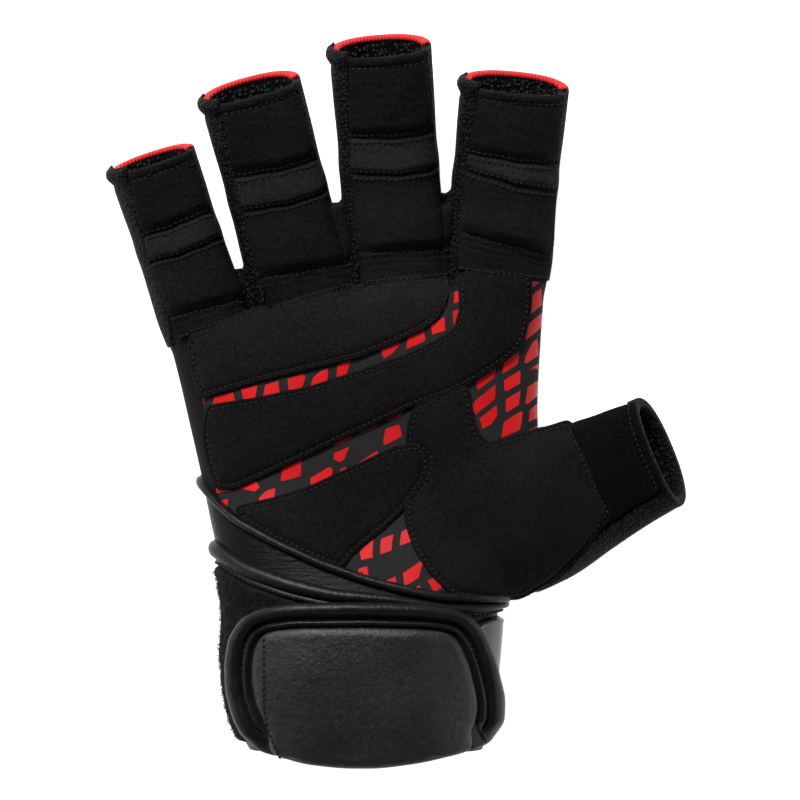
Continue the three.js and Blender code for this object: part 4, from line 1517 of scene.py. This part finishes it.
def build_thumb_tip(sizes):
    """The suede cap of the thumb, its knitted lower side and its folded hem."""
    limb = LIMBS["thumb"]
    v = np.linspace(0, 1, 90)[None, :]
    start = CAP_START + CAP_SLANT * v
    t = start + (CAP_LENGTH - CAP_SLANT * v) * np.linspace(0, 1, 70)[:, None]
    left = across_angle(limb, t, np.full_like(t, -0.985))
    low = across_angle(limb, t, 1 - thumb_knit_share(t))
    base, normals = laid_on_form(limb, t, left + (low - left) * v, 5.0, 8)
    run = (t - t[0]) * THUMB_UNIT
    rest = (t[-1] - t) * THUMB_UNIT
    near = np.minimum(run, side_gap(base))
    wave = noise_at(base.reshape(-1, 3), 8.0, 4).reshape(t.shape)
    height = edge_round(near, 1.4) * (1.3 - 0.6 * bump(rest, THUMB_HEM, 0.5)
                                      + 0.3 * bump(run, 3, 3) + 0.1 * wave)
    height = np.maximum(height * (0.5 + 0.5 * edge_round(rest, 0.9)), 0.1)
    piece = raised("thumb_tip_pad", base, normals, height)
    # the thumb's cap gets the suede with painted shade, darker than the rest
    ready(piece, "shaded suede", "suede", "thumb_tip_pad", fill=0.6)
    keep_row(base + normals * height[..., None], normals,
             np.argmin(np.abs(rest - THUMB_HEM), axis=0))
    # the knitted strip along its lower side
    t = np.linspace(1.5, 5.0, 90)[:, None]
    inner = across_angle(limb, t, 1.02 - thumb_knit_share(t))
    angle = inner + (math.radians(THUMB_KNIT_EDGE) - inner) * np.linspace(0, 1, 26)[None, :]
    base, normals = laid_on_form(limb, t, angle, 4.0, 5)
    height = 0.05 + (0.3 + 0.6 * ease(1.5, 3.0, t)) * edge_round(side_gap(base), 1.4)
    piece = raised("side_knit_thumb", base, normals, height)
    ready(piece, "knit", "side_knit", "side_knit_thumb")


def around_hand(line, angles, drop):
    """Places round the hand's sleeve that lie a drop below a line, seen from above."""
    limb = LIMBS["hand"]
    line = np.asarray(line)
    order = np.argsort(line[:, 0])
    low = np.full(np.broadcast(angles, drop).shape, SEARCH_FROM)
    high = np.full_like(low, SEARCH_TO)
    for _ in range(HALVINGS):
        t = (low + high) / 2
        spot = limb.point(t, angles)
        want = np.interp(spot[..., 0], line[order, 0], line[order, 1]) - drop
        beyond = spot[..., 1] > want
        high = np.where(beyond, t, high)
        low = np.where(beyond, low, t)
    return t


def build_rolls(sizes):
    """The roll where palm and cuff meet, and the stitched band below it."""
    limb = LIMBS["hand"]
    line = soft_line(place(PALM_EDGE), 2.0, closed=False, step=1.0)
    angles = np.radians(np.linspace(*PIPING_ARC, 300))[:, None]
    w = np.linspace(0, 1, 16)[None, :]
    t = around_hand(line, angles, w * PIPING_WIDTH)
    tall = PIPING_HEIGHT * dome(2 * w - 1) ** 0.9
    tall = tall * ease(0.0, 0.03, np.linspace(0, 1, 300))[:, None]
    piece = raised("palm_piping", limb.point(t, angles), limb.normal(t, angles), 0.1 + tall)
    ready(piece, "leather", "leather", "palm_piping")
    line = soft_line(place(BAND_EDGE), 2.0, closed=False, step=1.0)
    angles = np.radians(np.linspace(-180, 180, 420, endpoint=False))[:, None]
    width = BAND_WIDTH - BAND_NARROWING * ease(-40, 10, limb.point(3.5, angles, 0)[..., 0])
    w = np.linspace(0, 1, 22)[None, :]
    t = around_hand(line, angles, w * width)
    base, normals = limb.point(t, angles), limb.normal(t, angles)
    flat = 0.9 * ease(0.68, 0.74, w) * edge_round((1 - w) * width, 0.7)
    top = base + normals * (0.15 + np.maximum(rolled(w, *BAND_ROLL), flat))[..., None]
    piece = grid_slab("cuff_band", np.swapaxes(top, 0, 1),
                      np.swapaxes(base - normals * 0.3, 0, 1), closed=True)
    ready(piece, "leather", "leather", "cuff_band")
    FORM["rows"].append((top[BAND_SEAM_ROWS, BAND_SEAM], normals[BAND_SEAM_ROWS, BAND_SEAM]))


def build_strap(sizes):
    """The loop patch, the wrist strap round the back and the thumb side, and the tab."""
    limb = LIMBS["hand"]
    low_line = [(-80, STRAP_BOTTOM), (80, STRAP_BOTTOM)]
    band = soft_line(place(BAND_EDGE), 2.0, closed=False, step=1.0)
    angles = np.radians(np.linspace(*PATCH_ARC, 90))[:, None]
    drop = np.linspace(0, 1, 70)[None, :]
    high = around_hand(band - (0.0, BAND_WIDTH), angles, 0.0)
    t = high + (around_hand(low_line, angles, 0.0) - high) * drop
    base, normals = limb.point(t, angles, 0.2), limb.normal(t, angles)
    share = np.linspace(0, 1, 90)[:, None]
    side = np.minimum(share, 1 - share) * PATCH_SIZE[0]
    edge = np.minimum(drop, 1 - drop) * PATCH_SIZE[1]
    fuzz = noise_at(base.reshape(-1, 3), 2.2, 8).reshape(t.shape)
    height = (PATCH_THICKNESS + 0.25 * fuzz) * edge_round(np.minimum(edge, side), 1.0) + 0.1
    piece = raised("loop_patch", base, normals, height)
    ready(piece, "pile", "loop_pile", "loop_patch")
    FORM["pile"] = (base + normals * height[..., None], normals)
    # the strap, which lies a little higher where it comes out from under the flap
    angles = np.radians(np.linspace(*STRAP_ARC, 260))[:, None]
    high = around_hand([(-80, STRAP_TOP), (16, STRAP_TOP), (24, STRAP_TOP + STRAP_RISE),
                        (80, STRAP_TOP + STRAP_RISE)], angles, 0.0)
    w = np.linspace(0, 1, 40)[None, :]
    t = high + (around_hand(low_line, angles, 0.0) - high) * w
    base, normals = limb.point(t, angles, 0.2), limb.normal(t, angles)
    gap = np.minimum(w, 1 - w) * STRAP_WIDTH
    tall = STRAP_THICKNESS * edge_round(gap, 1.1) - 0.3 * bump(gap, 2.2, 0.5)
    top = base + normals * (0.2 + tall)[..., None]
    top[..., 2] = np.maximum(top[..., 2], 0.05)
    piece = grid_slab("wrist_strap", top, base - normals * 0.2)
    ready(piece, "strap leather", "leather", "wrist_strap")
    piece, _ = palm_pad("strap_tab", place(TAB_OUTLINE), TAB_THICKNESS, hand_tree(TAB_LIFT),
                        TAB_PUFF, TAB_SEAM, step=0.5, smooth=4, floor_drop=1.2)
    ready(piece, "leather", "leather", "strap_tab")


def border_path(outline):
    """The line of the flap's rolled edge, open at the bottom, and the ways to its inside."""
    path = evenly(outline, BORDER_STEP)
    low, high = (int(np.argmin(np.linalg.norm(path - end, axis=1)))
                 for end in place(BORDER_ENDS))
    ways = inward(path)
    path, ways = np.roll(path, -low, 0), np.roll(ways, -low, 0)
    turn = (high - low) % len(path)
    if np.mean(path[:turn, 1]) < np.mean(path[turn:, 1]):
        path = np.roll(path, -turn, 0)[::-1]
        ways = np.roll(ways, -turn, 0)[::-1]
        turn = len(path) - turn
    path, ways = path[:turn], ways[:turn]
    for _ in range(20):
        ways[1:-1] = (ways[:-2] + ways[1:-1] + ways[2:]) / 3
    return path, ways / np.linalg.norm(ways, axis=1, keepdims=True)


def build_border(outline, tree):
    """The rolled edge along the flap's left, top and right."""
    path, ways = border_path(outline)
    w = np.linspace(0, BORDER_WIDTH, 30)
    spots = path[:, None, :] + ways[:, None, :] * w[None, :, None]
    heights, _ = dropped(tree, spots.reshape(-1, 2))
    base = np.concatenate([spots, heights.reshape(spots.shape[:2])[..., None]], -1)
    base = softened(base, 6)
    normals = grid_normals(base)
    normals *= np.sign(normals[..., 2:3])
    tall = np.maximum(rolled(w, *BORDER_ROLL), rolled(w, *BORDER_RIDGE)) + 0.25
    run = np.arange(len(path))
    fade = ease(0, 9.0, run * BORDER_STEP) * ease(0, 9.0, (len(path) - 1 - run) * BORDER_STEP)
    tall = tall[None, :] * (0.08 + 0.92 * fade[:, None])
    tall = tall * (1 + 0.04 * noise_at(base.reshape(-1, 3), 7.0, 9).reshape(tall.shape))
    piece = raised("flap_border", base, normals, tall)
    ready(piece, "leather", "leather", "flap_border", fill=0.8)
    groove = int(np.argmin(np.abs(w - BORDER_GROOVE)))
    top = base + normals * tall[..., None]
    FORM["rows"].append((top[6:-6, groove], normals[6:-6, groove]))


def build_flap(sizes):
    """The padded flap: its base, its rolled edge and its puffed panel."""
    outline = soft_line(place(FLAP_OUTLINE), 1.8)
    piece, _ = palm_pad("strap_flap", outline, FLAP_THICKNESS, hand_tree(FLAP_LIFT), edge=0.9,
                        smooth=10, floor_drop=0.4)
    ready(piece, "leather", "leather", "strap_flap", fill=0.3)
    tree = hand_tree(PANEL_LIFT)
    build_border(outline, tree)
    # the panel, inside the rolled edge and out to the bottom
    inner = shrunk(outline, PANEL_INSET, 1.0)
    x, y = outline[:, 0], outline[:, 1]
    left, right = PANEL_SIDES
    bottom = outline[(y < PANEL_BOTTOM * PALM_LENGTH) & (x > left * PALM_WIDTH)
                     & (x < right * PALM_WIDTH)]
    inner = inner[inner[:, 1] > -0.93 * PALM_LENGTH]
    centre = np.array([np.mean(inner[:, 0]), -0.82 * PALM_LENGTH])
    around = np.vstack([inner, bottom])
    order = np.argsort(np.arctan2(around[:, 1] - centre[1], around[:, 0] - centre[0]))
    panel = soft_line(around[order], 1.5)
    piece, _ = palm_pad("flap_panel", panel, PANEL_THICKNESS, tree, edge=3.0, smooth=10,
                        floor_drop=0.4)
    ready(piece, "flap leather", "leather", "flap_panel", fill=0.8)
    FORM["lines"].append(("flap_panel", evenly(FLAP_SEAM, 0.5, closed=False), False))


def stitch_template(sizes):
    """One stitch: a short thread that rises out of the cloth and dives back in."""
    radius, length = sizes.thread / MM, sizes.stitch_length / MM
    rows, around = 5, 6
    points = []
    for i in range(rows):
        x = (i / (rows - 1) - 0.5) * length
        bend = STITCH_RISE * (1 - (2 * i / (rows - 1) - 1) ** 2)
        size = radius * (STITCH_ENDS if i in (0, rows - 1) else 1.0)
        for j in range(around):
            a = 2 * math.pi * j / around
            points.append((x, size * math.cos(a), size * math.sin(a) + bend))
    faces = grid_faces(rows, around, closed=True)
    faces.append(tuple(range(around))[::-1])
    faces.append(tuple((rows - 1) * around + j for j in range(around)))
    return np.array(points), faces


def read_along(at, along, values):
    """Points or normals, read at distances along a line."""
    return np.stack([np.interp(at, along, values[:, k]) for k in range(3)], 1)


def unit_rows(vectors):
    """Vectors made one long."""
    return vectors / np.maximum(np.linalg.norm(vectors, axis=1, keepdims=True), 1e-9)


def sewn(name, rows, sizes):
    """A row of stitches along each line, as one piece."""
    template, quads = stitch_template(sizes)
    points, faces, start = [], [], 0
    for line, normals in rows:
        lengths = np.linalg.norm(np.diff(line, axis=0), axis=1)
        along = np.concatenate([[0], np.cumsum(lengths)])
        count = int(along[-1] / (sizes.stitch_pitch / MM))
        if count < 2:
            continue
        at = (np.arange(count) + 0.5) * along[-1] / count
        spot = read_along(at, along, line)
        ahead = unit_rows(read_along(at + 0.3, along, line) - read_along(at - 0.3, along, line))
        side = unit_rows(np.cross(read_along(at, along, normals), ahead))
        up = np.cross(ahead, side)
        draw = np.random.RandomState(len(points) + 7)
        way = ahead + side * draw.uniform(-STITCH_LEAN, STITCH_LEAN, count)[:, None]
        for k in range(count):
            points.append(spot[k] + template[:, :1] * way[k] + template[:, 1:2] * side[k]
                          + template[:, 2:3] * up[k])
            faces += [tuple(i + start for i in f) for f in quads]
            start += len(template)
    piece = new_piece(name, np.vstack(points), faces)
    ready(piece, "thread", "suede")


def build_stitches(sizes):
    """Every row of stitches: on the fingers, round the palm's pads and on the cuff."""
    sewn("finger_and_cuff_stitches", FORM["rows"], sizes)
    rows = []
    for name, line, closed in FORM["lines"]:
        if closed:
            line = np.vstack([line, line[:1]])
        heights, normals = dropped(FORM[name], line)
        rows.append((np.column_stack([line, heights]), normals))
    sewn("palm_stitches", rows, sizes)


def build_pile(sizes):
    """Short curled fibres that stand out of the loop patch."""
    top, normals = FORM["pile"]
    draw = np.random.RandomState(21)
    flat, ways = top[2:-2, 2:-2].reshape(-1, 3), normals[2:-2, 2:-2].reshape(-1, 3)
    points, faces = [], []
    for i in draw.randint(0, len(flat), FIBRES):
        root, up = flat[i] + draw.normal(scale=0.25, size=3) * (1, 1, 0.2), ways[i]
        lean = draw.normal(size=3)
        lean -= up * (lean @ up)
        lean /= np.linalg.norm(lean)
        side = np.cross(up, lean)
        tall = draw.uniform(*FIBRE_HEIGHTS)
        spine = [root - up * 0.1, root + up * tall * 0.7 + lean * 0.1,
                 root + up * tall + lean * 0.45, root + up * tall * 0.75 + lean * 0.8]
        start = len(points)
        for spot in spine:
            points += [spot - side * FIBRE_RADIUS, spot + side * FIBRE_RADIUS]
        faces += [(start + 2 * j, start + 2 * j + 1, start + 2 * j + 3, start + 2 * j + 2)
                  for j in range(3)]
    piece = new_piece("loop_fibres", np.array(points), faces)
    ready(piece, "pile", "loop_pile")


def area_light(name, place_at, target, width, depth, power):
    """A rectangular light that faces a target."""
    lamp = bpy.data.lights.new(name, "AREA")
    lamp.shape, lamp.size, lamp.size_y = "RECTANGLE", width, depth
    lamp.energy = power
    made = bpy.data.objects.new(name, lamp)
    bpy.context.collection.objects.link(made)
    made.location = place_at
    made.rotation_euler = (Vector(target) - Vector(place_at)).to_track_quat("-Z", "Y").to_euler()


def build_stage(sizes):
    """A pale floor, soft light from four sides and the camera straight above."""
    bpy.ops.mesh.primitive_plane_add(size=6.0, location=(0.0, 0.0, -0.0005))
    floor = bpy.context.object
    floor.name = "floor"
    dress(floor, "floor")
    for light in LIGHTS:
        area_light(*light)
    world = bpy.data.worlds.new("studio")
    bpy.context.scene.world = world
    world.use_nodes = True
    background = world.node_tree.nodes["Background"].inputs
    background["Color"].default_value = (1, 1, 1, 1)
    background["Strength"].default_value = WORLD_LIGHT
    lens = bpy.data.cameras.new("camera")
    camera = bpy.data.objects.new("camera", lens)
    bpy.context.collection.objects.link(camera)
    camera.location = ((ORIGIN[0] + VIEWED[0]) * MM, (ORIGIN[1] + VIEWED[1]) * MM,
                       CAMERA_HEIGHT)
    camera.rotation_euler = (0.0, 0.0, 0.0)
    lens.sensor_width, lens.lens = CAMERA_SENSOR, CAMERA_LENS
    bpy.context.scene.camera = camera
    bpy.context.scene.view_settings.view_transform = "Standard"


# The add-on
class GloveSizes(bpy.types.PropertyGroup):
    """Sizes that a user would change."""

    palm_pad: FloatProperty(name="Palm pad", description="Thickness of the palm's pads",
                            default=0.0022, unit="LENGTH")
    finger_pad: FloatProperty(name="Finger pad", description="Thickness of the finger pads",
                              default=0.0013, unit="LENGTH")
    stitch_pitch: FloatProperty(name="Stitch pitch", description="Distance between stitches",
                                default=0.00175, unit="LENGTH")
    stitch_length: FloatProperty(name="Stitch length", description="Length of one stitch",
                                 default=0.0013, unit="LENGTH")
    thread: FloatProperty(name="Thread", description="Radius of the sewing thread",
                          default=0.00031, unit="LENGTH", precision=5)


def colour_property(name, description, default):
    """A colour in the sidebar."""
    return FloatVectorProperty(name=name, description=description, subtype="COLOR", size=3,
                               min=0.0, max=1.0, default=default)


class GloveColours(bpy.types.PropertyGroup):
    """Colours that a user would change."""

    suede: colour_property("Suede", "Colour of the suede pads", (0.0036, 0.0036, 0.0036))
    ground: colour_property("Ground", "Colour of the stretch fabric", (0.0100, 0.0108, 0.0102))
    print_red: colour_property("Print", "Colour of the printed cells", (0.47, 0.007, 0.008))
    knit: colour_property("Knit", "Colour of knit, lining and back", (0.0050, 0.0052, 0.0055))
    binding: colour_property("Binding", "Colour of the openings' binding", (0.50, 0.012, 0.012))
    leather: colour_property("Leather", "Colour of cuff, strap and flap", (0.0048, 0.0048, 0.0050))
    pile: colour_property("Pile", "Colour of the loop patch", (0.0036, 0.0036, 0.0038))
    thread: colour_property("Thread", "Colour of the stitches", (0.0080, 0.0080, 0.0084))


class GlovePiece:
    """What every step of the glove shares."""

    bl_options = {"REGISTER", "UNDO"}

    def execute(self, context):
        """Builds the step from the form and the scene's sizes."""
        build_form()
        self.build(context.scene.glove_sizes)
        return {"FINISHED"}


class GLOVE_OT_finishes(GlovePiece, bpy.types.Operator):
    """Make the finishes"""

    bl_idname, bl_label = "glove.finishes", "Finishes"

    def build(self, sizes):
        """The finishes need the colours alone."""
        make_materials(bpy.context.scene.glove_colours)


class GLOVE_OT_shell(GlovePiece, bpy.types.Operator):
    """Make the palm side, the back and the cuff"""

    bl_idname, bl_label = "glove.shell", "Shell"
    build = staticmethod(build_shell)


class GLOVE_OT_fingers(GlovePiece, bpy.types.Operator):
    """Make the padded sections of the fingers"""

    bl_idname, bl_label = "glove.finger_pads", "Finger pads"
    build = staticmethod(build_finger_pads)


class GLOVE_OT_knits(GlovePiece, bpy.types.Operator):
    """Make the knitted strips"""

    bl_idname, bl_label = "glove.knits", "Knitted strips"
    build = staticmethod(build_knits)


class GLOVE_OT_bindings(GlovePiece, bpy.types.Operator):
    """Make the bound rims of the openings"""

    bl_idname, bl_label = "glove.bindings", "Bindings"
    build = staticmethod(build_bindings)


class GLOVE_OT_palm(GlovePiece, bpy.types.Operator):
    """Make the palm's pads"""

    bl_idname, bl_label = "glove.palm_pads", "Palm pads"
    build = staticmethod(build_palm_pads)


class GLOVE_OT_thumb(GlovePiece, bpy.types.Operator):
    """Make the thumb's cap and its knitted strip"""

    bl_idname, bl_label = "glove.thumb", "Thumb"
    build = staticmethod(build_thumb_tip)


class GLOVE_OT_rolls(GlovePiece, bpy.types.Operator):
    """Make the rolled edge of the palm and the stitched band"""

    bl_idname, bl_label = "glove.rolls", "Rolls"
    build = staticmethod(build_rolls)


class GLOVE_OT_strap(GlovePiece, bpy.types.Operator):
    """Make the loop patch, the strap and its tab"""

    bl_idname, bl_label = "glove.strap", "Strap"
    build = staticmethod(build_strap)


class GLOVE_OT_flap(GlovePiece, bpy.types.Operator):
    """Make the padded flap"""

    bl_idname, bl_label = "glove.flap", "Flap"
    build = staticmethod(build_flap)


class GLOVE_OT_stitches(GlovePiece, bpy.types.Operator):
    """Sew every seam"""

    bl_idname, bl_label = "glove.stitches", "Stitches"
    build = staticmethod(build_stitches)


class GLOVE_OT_pile(GlovePiece, bpy.types.Operator):
    """Make the fibres of the loop patch"""

    bl_idname, bl_label = "glove.pile", "Loop fibres"
    build = staticmethod(build_pile)


class GLOVE_OT_stage(GlovePiece, bpy.types.Operator):
    """Make the floor, the lights and the camera"""

    bl_idname, bl_label = "glove.stage", "Stage"
    build = staticmethod(build_stage)


STEPS = [GLOVE_OT_finishes, GLOVE_OT_shell, GLOVE_OT_fingers, GLOVE_OT_knits,
         GLOVE_OT_bindings, GLOVE_OT_palm, GLOVE_OT_thumb, GLOVE_OT_rolls, GLOVE_OT_strap,
         GLOVE_OT_flap, GLOVE_OT_stitches, GLOVE_OT_pile, GLOVE_OT_stage]


class GLOVE_PT_panel(bpy.types.Panel):
    """The glove's steps, sizes and colours in the sidebar"""

    bl_idname, bl_label = "GLOVE_PT_panel", "Weightlifting glove"
    bl_space_type, bl_region_type, bl_category = "VIEW_3D", "UI", "Glove"

    def draw(self, context):
        """Lists the steps, then every size and colour."""
        for step in STEPS:
            self.layout.operator(step.bl_idname)
        for group in (context.scene.glove_sizes, context.scene.glove_colours):
            for name in group.__annotations__:
                self.layout.prop(group, name)


CLASSES = [GloveSizes, GloveColours, *STEPS, GLOVE_PT_panel]


def register():
    """Makes the classes and the scene's settings known to Blender."""
    for made in CLASSES:
        bpy.utils.register_class(made)
    bpy.types.Scene.glove_sizes = PointerProperty(type=GloveSizes)
    bpy.types.Scene.glove_colours = PointerProperty(type=GloveColours)


def unregister():
    """Takes them back."""
    del bpy.types.Scene.glove_colours
    del bpy.types.Scene.glove_sizes
    for made in reversed(CLASSES):
        bpy.utils.unregister_class(made)


def main():
    """Makes the whole glove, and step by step."""
    register()
    for step in STEPS:
        group, name = step.bl_idname.split(".")
        getattr(getattr(bpy.ops, group), name)()
    for name in ("skin", "hollow"):
        bpy.data.objects.remove(FORM[name])


if __name__ == "__main__":
    main()
